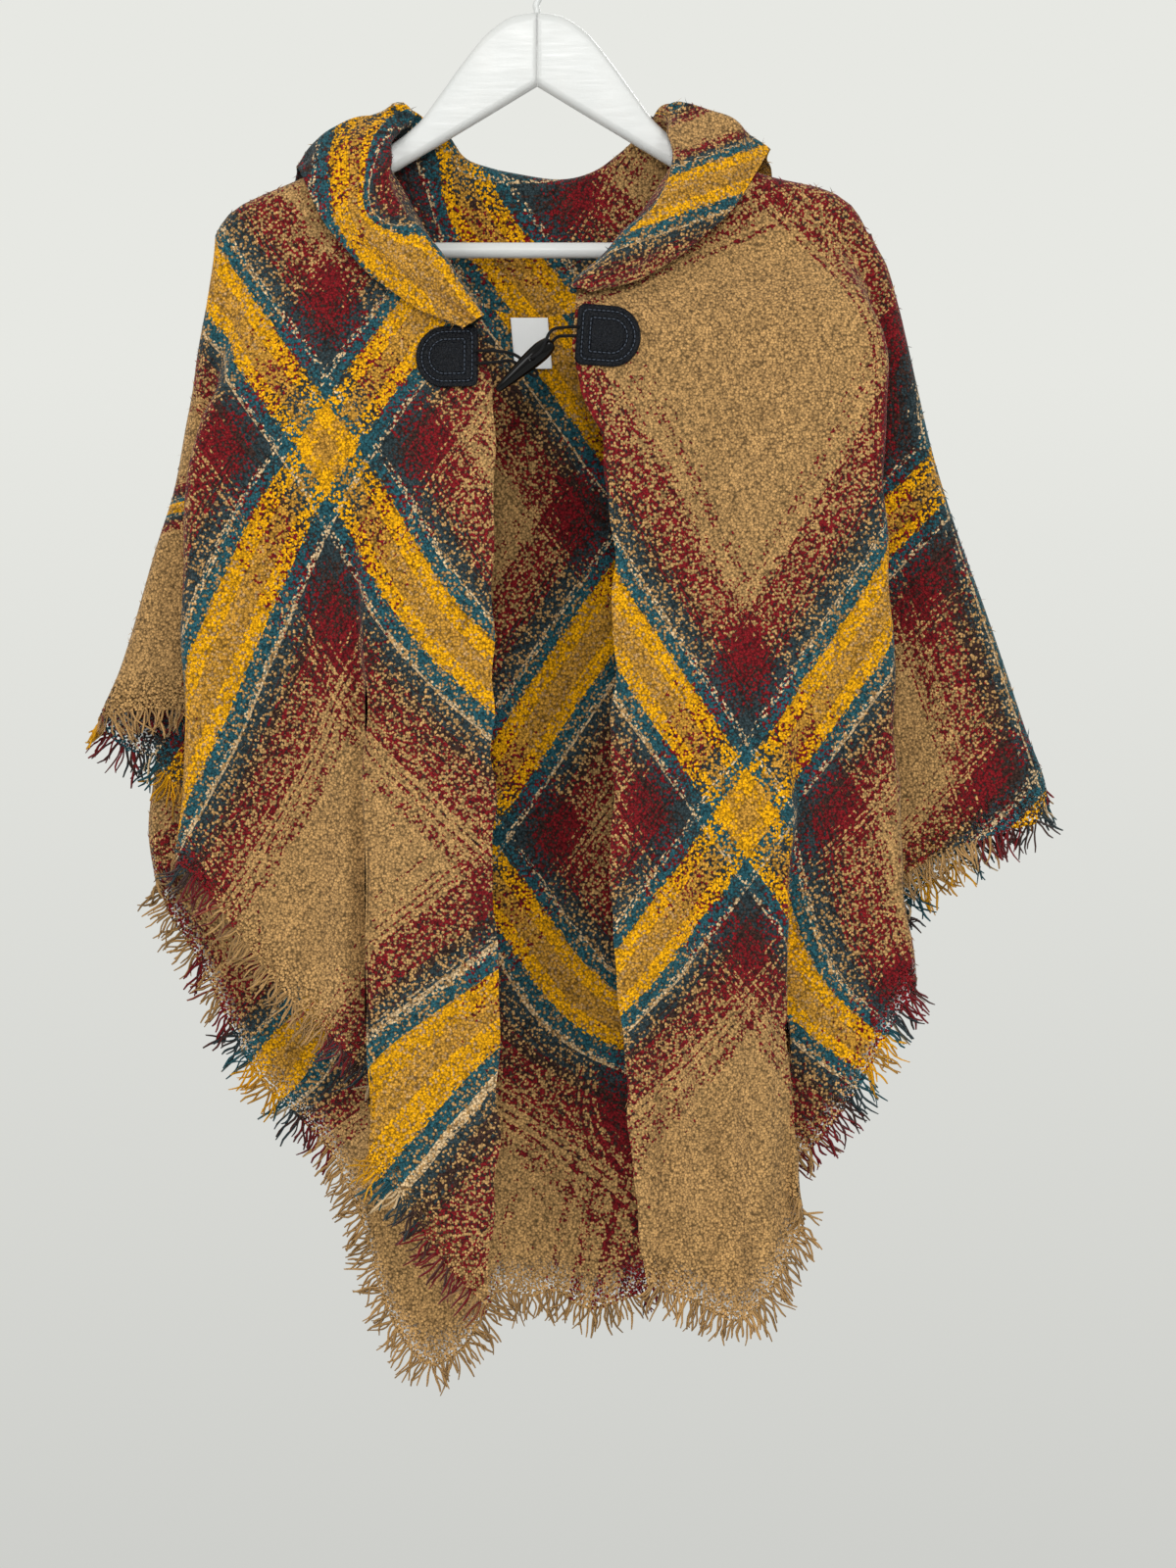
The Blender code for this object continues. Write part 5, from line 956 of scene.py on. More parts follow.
def ring_faces(rows, cols, flip=False):
    """Quads between closed rings of points, and a cap at both ends."""
    index = np.arange(rows * cols).reshape(rows, cols)
    faces = list(grid_faces(np.hstack((index, index[:, :1])))) + [index[0][::-1], index[-1]]
    return [face[::-1] for face in faces] if flip else faces


def thin_shell(grid, normals, wall):
    """Points and faces of a closed wall between a grid and its offset, facing outwards."""
    rows, cols = grid.shape[:2]
    index = np.arange(rows * cols).reshape(rows, cols)
    face = grid_faces(index)
    ring = np.concatenate((index[0], index[1:, -1], index[-1, -2::-1], index[-2:0:-1, 0]))
    after = np.roll(ring, -1)
    rim = np.stack((after, ring, ring + rows * cols, after + rows * cols), axis=1)
    faces = np.concatenate((face, face[:, ::-1] + rows * cols, rim))
    i, j = rows // 2, cols // 2
    way = np.cross(grid[i, j + 1] - grid[i, j], grid[i + 1, j] - grid[i, j])
    points = np.concatenate((grid.reshape(-1, 3), (grid - normals * wall).reshape(-1, 3)))
    return points, faces if np.dot(way, normals[i, j]) > 0.0 else faces[:, ::-1]


def linear(*rgb):
    """Colour from 0-255 display values."""
    values = [v / 255.0 / 12.92 if v <= 10 else ((v / 255.0 + 0.055) / 1.055) ** 2.4 for v in rgb]
    return (*values, 1.0)


class Nodes:
    """A node tree and short ways to add nodes to it; each gives the new node's output."""

    def __init__(self, tree):
        self.tree = tree

    def node(self, kind, inputs=(), **settings):
        """New node itself, with its settings, values and links."""
        node = self.tree.nodes.new("ShaderNode" + kind)
        for key, value in settings.items():
            setattr(node, key, value)
        for key, value in dict(inputs).items():
            if isinstance(value, bpy.types.NodeSocket):
                self.tree.links.new(value, node.inputs[key])
            else:
                node.inputs[key].default_value = value
        return node

    def math(self, operation, a, b=0.0, c=0.0):
        return self.node("Math", {0: a, 1: b, 2: c}, operation=operation).outputs[0]

    def remap(self, value, low, high, to_low, to_high):
        return self.node("MapRange", {"Value": value, "From Min": low, "From Max": high,
                                      "To Min": to_low, "To Max": to_high}).outputs[0]

    def ramp(self, value, stops, kind="LINEAR"):
        node = self.node("ValToRGB", {0: value})
        line = node.color_ramp
        line.interpolation = kind
        while len(line.elements) < len(stops):
            line.elements.new(1.0)
        for element, (place, colour) in zip(line.elements, stops):
            element.position = place
            element.color = colour
        return node.outputs[0]

    def noise(self, vector, scale, detail=2.0, rough=0.5, output="Fac"):
        return self.node("TexNoise", {"Vector": vector, "Scale": scale, "Detail": detail,
                                      "Roughness": rough}).outputs[output]

    def stretched(self, vector, scale, turn=0.0):
        return self.node("Mapping", {"Vector": vector, "Rotation": (0.0, turn, 0.0),
                                     "Scale": scale}).outputs[0]

    def scaled(self, colour, factor):
        return self.node("VectorMath", {0: colour, "Scale": factor}, operation="SCALE").outputs[0]

    def mixed(self, factor, a, b):
        return self.node("Mix", {0: factor, 6: a, 7: b}, data_type="RGBA").outputs[2]

    def place(self):
        return self.node("TexCoord").outputs["Object"]

    def cloth(self):
        return self.node("Attribute", attribute_name="cloth").outputs["Vector"]


class Shade(Nodes):
    """A node material with one principled shader."""

    def __init__(self, name, **sockets):
        self.material = bpy.data.materials.new(name)
        self.material.use_nodes = True
        super().__init__(self.material.node_tree)
        self.shader = self.tree.nodes["Principled BSDF"]
        for key, value in sockets.items():
            self.shader.inputs[key.replace("_", " ")].default_value = value

    def finish(self, height, distance, strength, **sockets):
        """Link the bump and the other sockets to the shader, and give the material."""
        sockets["Normal"] = self.node("Bump", {"Height": height, "Distance": distance,
                                               "Strength": strength}).outputs[0]
        for key, value in sockets.items():
            self.tree.links.new(value, self.shader.inputs[key.replace("_", " ")])
        return self.material


GOLD_TAN = linear(196, 142, 50)
YELLOW = linear(226, 160, 0)
TEAL = linear(34, 82, 92)
CREAM = linear(206, 176, 134)
SLATE = linear(44, 58, 62)
BROWN = linear(58, 38, 32)
RED = linear(118, 16, 24)
TAN = linear(179, 139, 87)
# Colour by the share of the way from a band's middle to the plain ground's middle.
BANDS = ((0.0, GOLD_TAN), (0.050, YELLOW), (0.138, TEAL), (0.218, CREAM), (0.240, SLATE), (0.306, BROWN),
         (0.368, RED), (0.430, BROWN), (0.458, RED), (0.590, TAN))
YARN = 0.0017           # width of one yarn in the cloth
YARN_SCALE = 620.0      # loops of yarn to the metre


def plaid_colour(shade, place, picks):
    """Colour of one yarn: which set of threads it belongs to, its band, and its own lightness."""
    first, second, third = shade.node("SeparateColor", {0: picks}).outputs
    s, t, _ = shade.node("SeparateXYZ", {0: place}).outputs
    strong = [shade.remap(shade.math("PINGPONG", axis, PLAIN), 0.021, 0.095, 0.30, 0.0) for axis in (s, t)]
    share = shade.math("ADD", shade.math("SUBTRACT", *strong), 0.5)
    which = shade.math("GREATER_THAN", first, share)
    run = shade.node("Mix", {0: which, 2: s, 3: t}, data_type="FLOAT").outputs[0]
    thread = shade.math("SNAP", run, YARN)
    own = shade.node("TexWhiteNoise", {"W": thread}, noise_dimensions="1D").outputs["Value"]
    near = shade.math("PINGPONG", thread, PLAIN)
    loose = shade.remap(near, 0.030, 0.090, 0.003, 0.044)
    astray = shade.math("MULTIPLY_ADD", second, 0.45, shade.math("MULTIPLY", own, 0.75))
    astray = shade.math("SUBTRACT", astray, 0.6)
    moved = shade.math("MULTIPLY_ADD", astray, loose, near)
    colour = shade.ramp(shade.math("MULTIPLY", moved, 1.0 / PLAIN), BANDS, "CONSTANT")
    return shade.scaled(colour, shade.math("MULTIPLY", shade.remap(third, 0.0, 1.0, 0.66, 1.26),
                                           shade.remap(own, 0.0, 1.0, 0.80, 1.14)))


def boucle(name):
    """Loose woven cloth of loopy yarn in a blanket check, thinner towards the hem, with painted shade in the
    gaps between the loops.
    """
    shade = Shade(name, Sheen_Weight=0.10, Sheen_Roughness=0.5, Specular_IOR_Level=0.12)
    place, spot = shade.cloth(), shade.place()
    wobble = shade.noise(spot, 210.0, 1.0, output="Color")
    moved = shade.node("VectorMath", {0: wobble, 1: (0.0016, 0.0016, 0.0), 2: place},
                       operation="MULTIPLY_ADD").outputs[0]
    loops = shade.node("TexVoronoi", {"Vector": spot, "Scale": YARN_SCALE, "Randomness": 1.0}).outputs
    colour = plaid_colour(shade, moved, loops["Color"])
    fine = shade.noise(spot, 1300.0, 2.0, 0.6)
    # Colour darkens towards the edge of each loop: painted shade in the gaps between the loops.
    painted_gap_shade = shade.remap(loops["Distance"], 0.34, 0.80, 1.0, 0.26)
    colour = shade.scaled(colour, shade.math("MULTIPLY", painted_gap_shade, shade.remap(fine, 0.3, 0.7, 0.80, 1.18)))
    height = shade.math("MULTIPLY_ADD", fine, 0.35, shade.remap(loops["Distance"], 0.10, 0.75, 1.0, 0.0))
    hem = shade.node("SeparateXYZ", {0: place}).outputs[2]
    open_weave = shade.math("MULTIPLY", shade.remap(hem, 0.004, 0.030, 1.0, 0.0),
                            shade.remap(loops["Distance"], 0.53, 0.60, 0.0, 1.0))
    return shade.finish(height, 0.0010, 0.6, Base_Color=colour,
                        Roughness=shade.remap(fine, 0.3, 0.7, 0.82, 0.98),
                        Alpha=shade.math("SUBTRACT", 1.0, open_weave))


def loose_yarn(name):
    """Single yarns of the same cloth: fringe and stray loops."""
    shade = Shade(name, Sheen_Weight=0.12, Sheen_Roughness=0.5, Specular_IOR_Level=0.1)
    place = shade.cloth()
    own = shade.node("TexWhiteNoise", {"Vector": place}, noise_dimensions="3D").outputs["Color"]
    colour = plaid_colour(shade, place, own)
    fine = shade.noise(shade.place(), 1500.0, 2.0, 0.6)
    # Random tone from the noise, darkened overall: partly the yarn's own tone, partly painted shade among the
    # yarns to match the painted gap shade of the cloth.
    colour = shade.scaled(colour, shade.remap(fine, 0.3, 0.7, 0.58, 0.98))
    return shade.finish(fine, 0.0005, 0.8, Base_Color=colour,
                        Roughness=shade.remap(fine, 0.3, 0.7, 0.85, 0.98))


def pebbled_leather(name):
    shade = Shade(name, Specular_IOR_Level=0.16)
    place = shade.place()
    pebble = shade.node("TexVoronoi", {"Vector": place, "Scale": 900.0, "Randomness": 0.9},
                        feature="SMOOTH_F1").outputs["Distance"]
    dark = shade.mixed(shade.noise(place, 90.0, 3.0), linear(7, 10, 15), linear(15, 20, 28))
    # Darker between the pebbles of the grain: painted shade in the grain's hollows.
    colour = shade.mixed(shade.remap(pebble, 0.2, 0.55, 0.0, 0.7), dark, linear(3, 4, 7))
    return shade.finish(shade.math("SUBTRACT", 1.0, pebble), 0.0012, 1.0, Base_Color=colour,
                        Roughness=shade.remap(pebble, 0.1, 0.6, 0.28, 0.60))


def stitch_thread(name):
    shade = Shade(name, Specular_IOR_Level=0.3)
    fine = shade.noise(shade.place(), 2600.0)
    return shade.finish(fine, 0.0002, 0.6,
                        Base_Color=shade.mixed(fine, linear(34, 40, 50), linear(76, 84, 96)),
                        Roughness=shade.remap(fine, 0.3, 0.7, 0.5, 0.75))


def braided_cord(name):
    """Braid of two crossing sets of strands, along a tube's (length, angle) places."""
    shade = Shade(name, Specular_IOR_Level=0.15)
    run, angle, _ = shade.node("SeparateXYZ", {0: shade.cloth()}).outputs
    turned = [shade.math("MULTIPLY", angle, turns) for turns in (4.0, -4.0)]
    one, two = (shade.math("SINE", shade.math("MULTIPLY_ADD", run, 5200.0, turn)) for turn in turned)
    braid = shade.math("MULTIPLY_ADD", shade.math("MAXIMUM", one, two), 0.5, 0.5)
    # Lighter on the crests of the strands and darker in the grooves between them: painted shade.
    return shade.finish(braid, 0.0003, 0.8,
                        Base_Color=shade.mixed(braid, linear(3, 3, 4), linear(17, 17, 19)),
                        Roughness=shade.remap(braid, 0.0, 1.0, 0.75, 0.5))


def polished_horn(name):
    shade = Shade(name, Specular_IOR_Level=0.16)
    streak = shade.noise(shade.stretched(shade.place(), (30.0, 420.0, 420.0), 0.72), 1.0, 4.0, 0.6)
    wear = shade.noise(shade.place(), 700.0, 3.0)
    colour = shade.ramp(streak, ((0.35, linear(2, 2, 2)), (0.66, linear(6, 5, 5)),
                                 (0.82, linear(16, 13, 11))))
    return shade.finish(streak, 0.0002, 0.25, Base_Color=colour,
                        Roughness=shade.remap(wear, 0.3, 0.75, 0.06, 0.14))


def woven_tape(name):
    shade = Shade(name, Specular_IOR_Level=0.35)
    place = shade.place()
    warp, weft = (shade.node("TexWave", {"Vector": place, "Scale": 1100.0, "Distortion": 0.6, "Detail": 1.0},
                             bands_direction=way).outputs["Fac"] for way in "XZ")
    weave = shade.math("MULTIPLY", warp, weft)
    # Lighter where the threads rise and darker in the hollows between them: painted shade.
    return shade.finish(weave, 0.0002, 0.5,
                        Base_Color=shade.mixed(weave, linear(232, 233, 233), linear(248, 248, 246)),
                        Roughness=shade.remap(weave, 0.0, 1.0, 0.75, 0.5))


def painted_white(name, rough, grain):
    shade = Shade(name, Specular_IOR_Level=0.45)
    place = shade.place()
    wood = shade.noise(shade.stretched(place, grain), 1.0, 4.0, 0.6)
    soft = shade.noise(place, 40.0)
    return shade.finish(wood, 0.0004, 0.35,
                        Base_Color=shade.mixed(soft, linear(188, 190, 189), linear(197, 197, 195)),
                        Roughness=shade.remap(wood, 0.3, 0.7, rough - 0.06, rough + 0.08))


cloth_look = boucle("plaid_cloth")
yarn_look = loose_yarn("plaid_yarn")

# Each cloth piece, the size that it was cut to, its flat area, and how it hangs.
for node, sheet, flat, area, held in (("front_right", right, (0.36, 0.78), 0.168, "hung"),
                                      ("front_left", left, (0.42, 0.78), 0.212, "hung"),
                                      ("back", back, (0.78, 0.82), 0.392, "hung"),
                                      ("hood", hood, (0.70, 0.36), 0.168, "draped")):
    points, faces = thin_shell(sheet.grid, sheet.normals, SHELL)
    shading = np.concatenate((sheet.normals.reshape(-1, 3), -sheet.normals.reshape(-1, 3)))
    thing = add_mesh(node + "_cloth", points, faces, "plaid_cloth", cloth_look, [node],
                     np.tile(sheet.cloth.reshape(-1, 3), (2, 1)), shading)

FRINGE_ROOM = 0.0016    # distance between frayed yarns along a hem
FRINGE_LENGTH = (0.012, 0.022)
FRINGE_RADIUS = (0.0007, 0.0011)
FRINGE_ROOT = 0.002     # how far a frayed yarn starts inside the hem
STRAND_WIDTHS = np.array((1.0, 1.1, 1.0, 1.1, 1.0, 0.65))     # thickness along a frayed yarn
STRAND_SIDES = 3


def strands(roots, ways, lengths, sides, radius, bends, places):
    """Tapered wavy yarns with three sides, as points, faces and cloth places."""
    rings = len(STRAND_WIDTHS)
    stops = np.linspace(0.0, 1.0, rings)
    across = unit(np.cross(ways, sides))
    curl, wave, sway, phase = (bends[:, k:k + 1] for k in range(4))
    out = lengths[:, None] * stops
    bent = curl * lengths[:, None] * stops ** 2 + wave * np.sin(stops * 6.0 + phase)
    swayed = sway * np.sin(stops * 5.0 + phase * 1.7)
    line = (roots[:, None] + ways[:, None] * out[..., None] + sides[:, None] * bent[..., None]
            + across[:, None] * swayed[..., None])
    width = radius[:, None] * STRAND_WIDTHS
    angles = 2.0 * math.pi * np.arange(STRAND_SIDES) / STRAND_SIDES
    points = np.stack([line + width[..., None] * (math.cos(a) * sides + math.sin(a) * across)[:, None]
                       for a in angles], axis=2)
    index = np.arange(points.size // 3).reshape(points.shape[:3])
    near = np.roll(index, -1, axis=2)
    faces = np.stack((index[:, :-1], near[:, :-1], near[:, 1:], index[:, 1:]), axis=-1).reshape(-1, 4)
    places = np.repeat(places, rings * STRAND_SIDES, axis=0)
    return points.reshape(-1, 3), list(faces) + list(index[:, -1]), places


def fringe_piece(name, sheet, nodes, seed):
    """Frayed yarns along one panel's hem."""
    rng = np.random.default_rng(seed)
    edge, above = (sheet.grid[row] - 0.5 * SHELL * sheet.normals[row] for row in (-1, -4))
    normals, places = sheet.normals[-1], sheet.cloth[-1]
    run = run_length(edge)
    along = unit(np.gradient(edge, axis=0))
    fall = np.cross(along, normals)
    fall = unit(fall * np.sign(np.sum(fall * (edge - above), axis=1, keepdims=True)))
    fall = unit(0.75 * fall + np.array((0.0, 0.0, -0.25)))
    count = int(run[-1] / FRINGE_ROOM)
    at = (np.arange(count) + 0.5 + rng.uniform(-0.45, 0.45, count)) * run[-1] / count

    def sample(values):
        return np.stack([np.interp(at, run, values[:, k]) for k in range(3)], axis=1)

    sway = waviness(at, 0.0, seed, 0.016, 0.22) + rng.normal(0.0, 0.14, count)
    lift = rng.normal(0.0, 0.08, count)
    way = unit(sample(fall) + sample(along) * sway[:, None] + sample(normals) * lift[:, None])
    side = unit(sample(along))
    side = unit(side - way * np.sum(side * way, axis=1, keepdims=True))
    lengths = rng.uniform(*FRINGE_LENGTH, count) * np.where(rng.random(count) < 0.10, 1.2, 1.0)
    bends = np.stack((rng.normal(0.0, 0.20, count), rng.uniform(0.0003, 0.0014, count),
                      rng.uniform(0.0002, 0.0012, count), rng.uniform(0.0, 6.28, count)), axis=1)
    turn = np.abs(np.gradient(places, axis=0)[:, :2])
    wide = np.interp(at, run, smooth_ring(np.where(turn[:, 0] > turn[:, 1], 1.0, 0.0), 20)) > 0.5
    cloth = sample(places)
    family = np.where(wide, cloth[:, 0], cloth[:, 1])
    cloth = np.stack((family, family, rng.uniform(1.0, 2.0, count)), axis=1)
    points, faces, cloth = strands(sample(edge) - way * FRINGE_ROOT, way, lengths, side,
                                   rng.uniform(*FRINGE_RADIUS, count), bends, cloth)
    add_mesh(name, points, faces, "fringe_yarn", yarn_look, nodes, cloth)


for part, sheet, seed in (("fringe_right", right, 3), ("fringe_left", left, 4), ("fringe_back", back, 5)):
    fringe_piece(part + "_yarns", sheet, [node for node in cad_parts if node.startswith(part)], seed)


LOOP_LENGTH = (0.0025, 0.0065)
LOOP_HALF_WIDTH = (0.00018, 0.00034)
LOOP_ROOT = 0.0006      # how far a stray loop starts inside the cloth


def stray_loops(sheet, count, seed):
    """Short loose ends of yarn standing off the face of the cloth."""
    grid = sheet.grid
    rng = np.random.default_rng(seed)
    corner = grid[:-1, :-1]
    cell = np.linalg.norm(np.cross(grid[1:, :-1] - corner, grid[:-1, 1:] - corner), axis=2).ravel()
    i, j = np.divmod(rng.choice(len(cell), count, p=cell / cell.sum()), grid.shape[1] - 1)
    u, v = rng.random((2, count, 1))

    def sample(values):
        near, far = (lerp(values[i, k], values[i + 1, k], u) for k in (j, j + 1))
        return lerp(near, far, v)

    normal = unit(sample(sheet.normals))
    aside = unit(np.cross(normal, rng.normal(size=(count, 3))))
    way = unit(aside + normal * rng.uniform(0.15, 0.9, (count, 1)))
    lengths = rng.uniform(*LOOP_LENGTH, (count, 1))
    root = sample(grid) - normal * LOOP_ROOT
    bend = normal * rng.uniform(-0.35, 0.1, (count, 1))
    bend = bend + np.cross(way, normal) * rng.normal(0.0, 0.3, (count, 1))
    flat = unit(np.cross(way, bend)) * rng.uniform(*LOOP_HALF_WIDTH, (count, 1))
    middle = root + way * 0.5 * lengths + bend * 0.25 * lengths
    tip = root + (way + bend) * lengths
    points = np.stack((root - flat, root + flat, middle + flat, middle - flat, tip), axis=1).reshape(-1, 3)
    index = np.arange(count)[:, None] * 5
    cloth = sample(sheet.cloth)
    cloth[:, 2] = rng.uniform(1.0, 2.0, count)
    return points, list(index + (0, 1, 2, 3)) + list(index + (3, 2, 4)), np.repeat(cloth, 5, axis=0)


points, faces, places = joined([stray_loops(right, 4200, 61), stray_loops(left, 5200, 62),
                                stray_loops(back, 6000, 63), stray_loops(hood, 3600, 64)])
add_mesh("stray_yarn_loops", points, faces, "plaid_cloth", yarn_look, cloth=places)


def closed_tube(points, radius, sides):
    """Round tube along a smooth line, closed at both ends: points, faces and (length, angle) places."""
    way = unit(np.gradient(points, axis=0))
    side = np.zeros_like(points)
    side[0] = unit(np.cross(way[0], (0.31, 0.87, 0.38)))
    for k in range(1, len(points)):
        side[k] = unit(side[k - 1] - way[k] * np.dot(side[k - 1], way[k]))
    up = np.cross(way, side)
    angles = np.linspace(0.0, 2.0 * math.pi, sides, endpoint=False)
    rings = (points[:, None] + np.broadcast_to(radius, len(points))[:, None, None]
             * (np.cos(angles)[:, None] * side[:, None] + np.sin(angles)[:, None] * up[:, None]))
    run, angle = np.meshgrid(run_length(points), angles, indexing="ij")
    places = np.stack((run, angle, np.zeros_like(run)), axis=2)
    return rings.reshape(-1, 3), ring_faces(len(points), sides), places.reshape(-1, 3)


def domed(points, radius):
    """Line and radii of a wire with a rounded tip at both ends."""
    ends = unit(points[0] - points[1]), unit(points[-1] - points[-2])
    steps_in = np.array((1.0, 0.85, 0.55, 0.2))
    head = points[0] + ends[0] * (radius * (steps_in - 1.0))[:, None]
    tail = points[-1] + ends[1] * (radius * (steps_in[::-1] - 1.0))[:, None]
    tip = radius * np.sqrt(np.maximum(1.0 - steps_in ** 2, 0.02))
    return (np.concatenate((head, points[1:-1], tail)),
            np.concatenate((tip, np.full(len(points) - 2, radius), tip[::-1])))


def face_tree(grid):
    """Tree of a cloth face, to lay pieces on."""
    faces = grid_faces(np.arange(grid.size // 3).reshape(grid.shape[:2]))
    return BVHTree.FromPolygons(grid.reshape(-1, 3).tolist(), faces.tolist())


def front_y(tree, panel, q, z, about):
    """Foremost face of a front panel about a place in the picture plane."""
    best = 0.0
    for dq in (-about, 0.0, about):
        for dz in (-about, 0.0, about):
            inside = max(q + dq, float(level(panel.rows, "open_q", z + dz)) + EDGE_INSET)
            hit = tree.ray_cast(Vector((panel.side * inside, -1.0, z + dz)), Vector((0.0, 1.0, 0.0)))
            if hit[0] is not None:
                best = min(best, hit[0].y)
    return best


# Patches: q and z of the middle of the straight side, width, height, tilt in degrees, and how far about a
# place the cloth is felt for.
PATCH_RIGHT = (0.0395, -0.3035, 0.0425, 0.0420, 0.0, 0.0012)
PATCH_LEFT = (0.0270, -0.2895, 0.0435, 0.0415, -4.0, 0.0040)
PATCH_LIFT = 0.0007
PATCH_CORNER = 0.0050
PATCH_MIDDLE = 0.0125   # distance from the edge at which the plain middle starts
PATCH_CROWN = 0.0026    # thickness at the middle
STITCH_IN = (0.0040, 0.0092)    # distances of the two sewn lines from the edge
STITCH_STEP = 0.0031
STITCH_DEPTH = 0.0017   # how high the thread lies above the patch's underside
STITCH_RISE = 0.00045
THREAD_RADII = 0.00042 * np.array((0.45, 0.9, 1.0, 1.0, 0.9, 0.45))
# Thickness by distance from the edge: the rounded edge, the groove of each sewn line, the middle.
PATCH_EDGE = ((0.0, 0.0), (0.0, 0.0011), (0.0003, 0.0016), (0.0008, 0.0020), (0.0016, 0.0022),
              (0.0024, 0.0023))
PATCH_GROOVE = ((-0.0012, 0.0022), (-0.0006, 0.0017), (0.0, 0.0013), (0.0006, 0.0017), (0.0012, 0.0023))
PATCH_PROFILE = (*PATCH_EDGE, *((sewn + place, depth) for sewn in STITCH_IN for place, depth in PATCH_GROOVE),
                 (PATCH_MIDDLE, 0.0025))


def d_line(width, height, inset):
    """D shape as a fine closed line: straight side near u = 0, round side at u = width."""
    half = 0.5 * height - inset
    right_end = width - inset
    corner = max(PATCH_CORNER - 0.4 * inset, 0.0012)
    rise = min(0.92 * half, right_end - inset - 2.0 * corner)
    lower, upper = (np.radians(start + np.linspace(0.0, 90.0, 9)) for start in (180.0, 90.0))
    bow = np.radians(np.linspace(-90.0, 90.0, 41))
    u = np.concatenate((inset + corner + corner * np.cos(lower), right_end - rise + rise * np.cos(bow),
                        inset + corner + corner * np.cos(upper)))
    v = np.concatenate((corner - half + corner * np.sin(lower), half * np.sin(bow),
                        half - corner + corner * np.sin(upper)))
    line = np.stack((np.append(u, u[0]), np.append(v, v[0])), axis=1)
    return along_line(line, np.linspace(0.0, run_length(line)[-1], 97)[:-1])


def leather_patch(name, sheet, panel, sizes, material, thread):
    """Leather patch with a rounded edge and two sewn lines."""
    q0, z0, width, height, tilt, feel = sizes
    tree = face_tree(sheet.grid)
    cos, sin = math.cos(math.radians(tilt)), math.sin(math.radians(tilt))

    def spot(u, v):
        return q0 + u * cos - v * sin, z0 + u * sin + v * cos

    def terms(u, v):
        return np.stack((np.ones_like(u), u, v, u * u, u * v, v * v, u ** 3, v ** 3), axis=-1)

    u, v = (k.ravel() for k in np.meshgrid(np.linspace(0.0, width, 9),
                                           np.linspace(-0.5 * height, 0.5 * height, 9), indexing="ij"))
    y = np.array([front_y(tree, panel, q, z, feel) for q, z in zip(*spot(u, v))])
    fit = np.linalg.lstsq(terms(u, v), y, rcond=None)[0]
    slack = max(np.percentile(terms(u, v) @ fit - y, 85), 0.0)

    def laid(line, depth):
        """Line on the patch, at a depth in front of where the patch lies on the cloth."""
        q, z = spot(*line.T)
        return np.stack((panel.side * q, terms(*line.T) @ fit - slack - PATCH_LIFT - depth, z), axis=1)

    def shrunk(inset, share):
        return lerp(d_line(width, height, PATCH_MIDDLE).mean(axis=0), d_line(width, height, inset), share)

    rings = np.array([laid(shrunk(0.0, share), 0.0) for share in (0.02, 0.5)]
                     + [laid(d_line(width, height, inset), depth) for inset, depth in PATCH_PROFILE]
                     + [laid(shrunk(PATCH_MIDDLE, share), PATCH_CROWN) for share in (0.66, 0.33, 0.02)])
    faces = ring_faces(*rings.shape[:2], flip=panel.side < 0.0)
    add_mesh(name + "_leather", rings.reshape(-1, 3), faces, "leather", material, [name])
    tubes = []
    for sewn in STITCH_IN:
        path = laid(d_line(width, height, sewn), STITCH_DEPTH)
        path = np.concatenate((path, path[:1]))
        total = run_length(path)[-1]
        stitches = int(total / STITCH_STEP)
        for k in range(stitches):
            run = along_line(path, np.linspace((k + 0.12) / stitches, (k + 0.88) / stitches, 6) * total)
            run[:, 1] -= STITCH_RISE * np.sin(np.linspace(0.15, 0.85, 6) * math.pi)
            tubes.append(closed_tube(run, THREAD_RADII, 8))
    points, faces, _ = joined(tubes)
    add_mesh(name + "_leather_stitches", points, faces, "leather", thread)


leather_look = pebbled_leather("navy_black_leather")
thread_look = stitch_thread("dark_thread")
leather_patch("patch_right", right, right_panel, PATCH_RIGHT, leather_look, thread_look)
leather_patch("patch_left", left, left_panel, PATCH_LEFT, leather_look, thread_look)

TOGGLE_HEAD = np.array((0.0110, -0.0745, -0.2955))
TOGGLE_POINT = np.array((-0.0265, -0.0700, -0.3285))
TOGGLE_SAG = 0.0015
TOGGLE_LENGTH = 0.05
TOGGLE_CAP = 0.003      # length of its round end
HEAD_ROUND, POINT_ROUND = 0.0016, 0.0018    # lengths over which its two ends close
POINT_CLOSED = 0.0508   # where its point would close to nothing
TOGGLE_HOLE = 0.36      # share of its length at which the cord goes through
HOLE_ROOM = 0.0004      # room round the cord in that hole


def toggle_axis(t):
    t = np.asarray(t, float)[..., None]
    return lerp(TOGGLE_HEAD, TOGGLE_POINT, t) + np.array((0.0, -1.0, 0.0)) * TOGGLE_SAG * 4.0 * t * (1.0 - t)


def mesh_object(name, bm):
    """Object of a bmesh, in the scene."""
    mesh = bpy.data.meshes.new(name)
    bm.to_mesh(mesh)
    bm.free()
    thing = bpy.data.objects.new(name, mesh)
    bpy.context.scene.collection.objects.link(thing)
    return thing


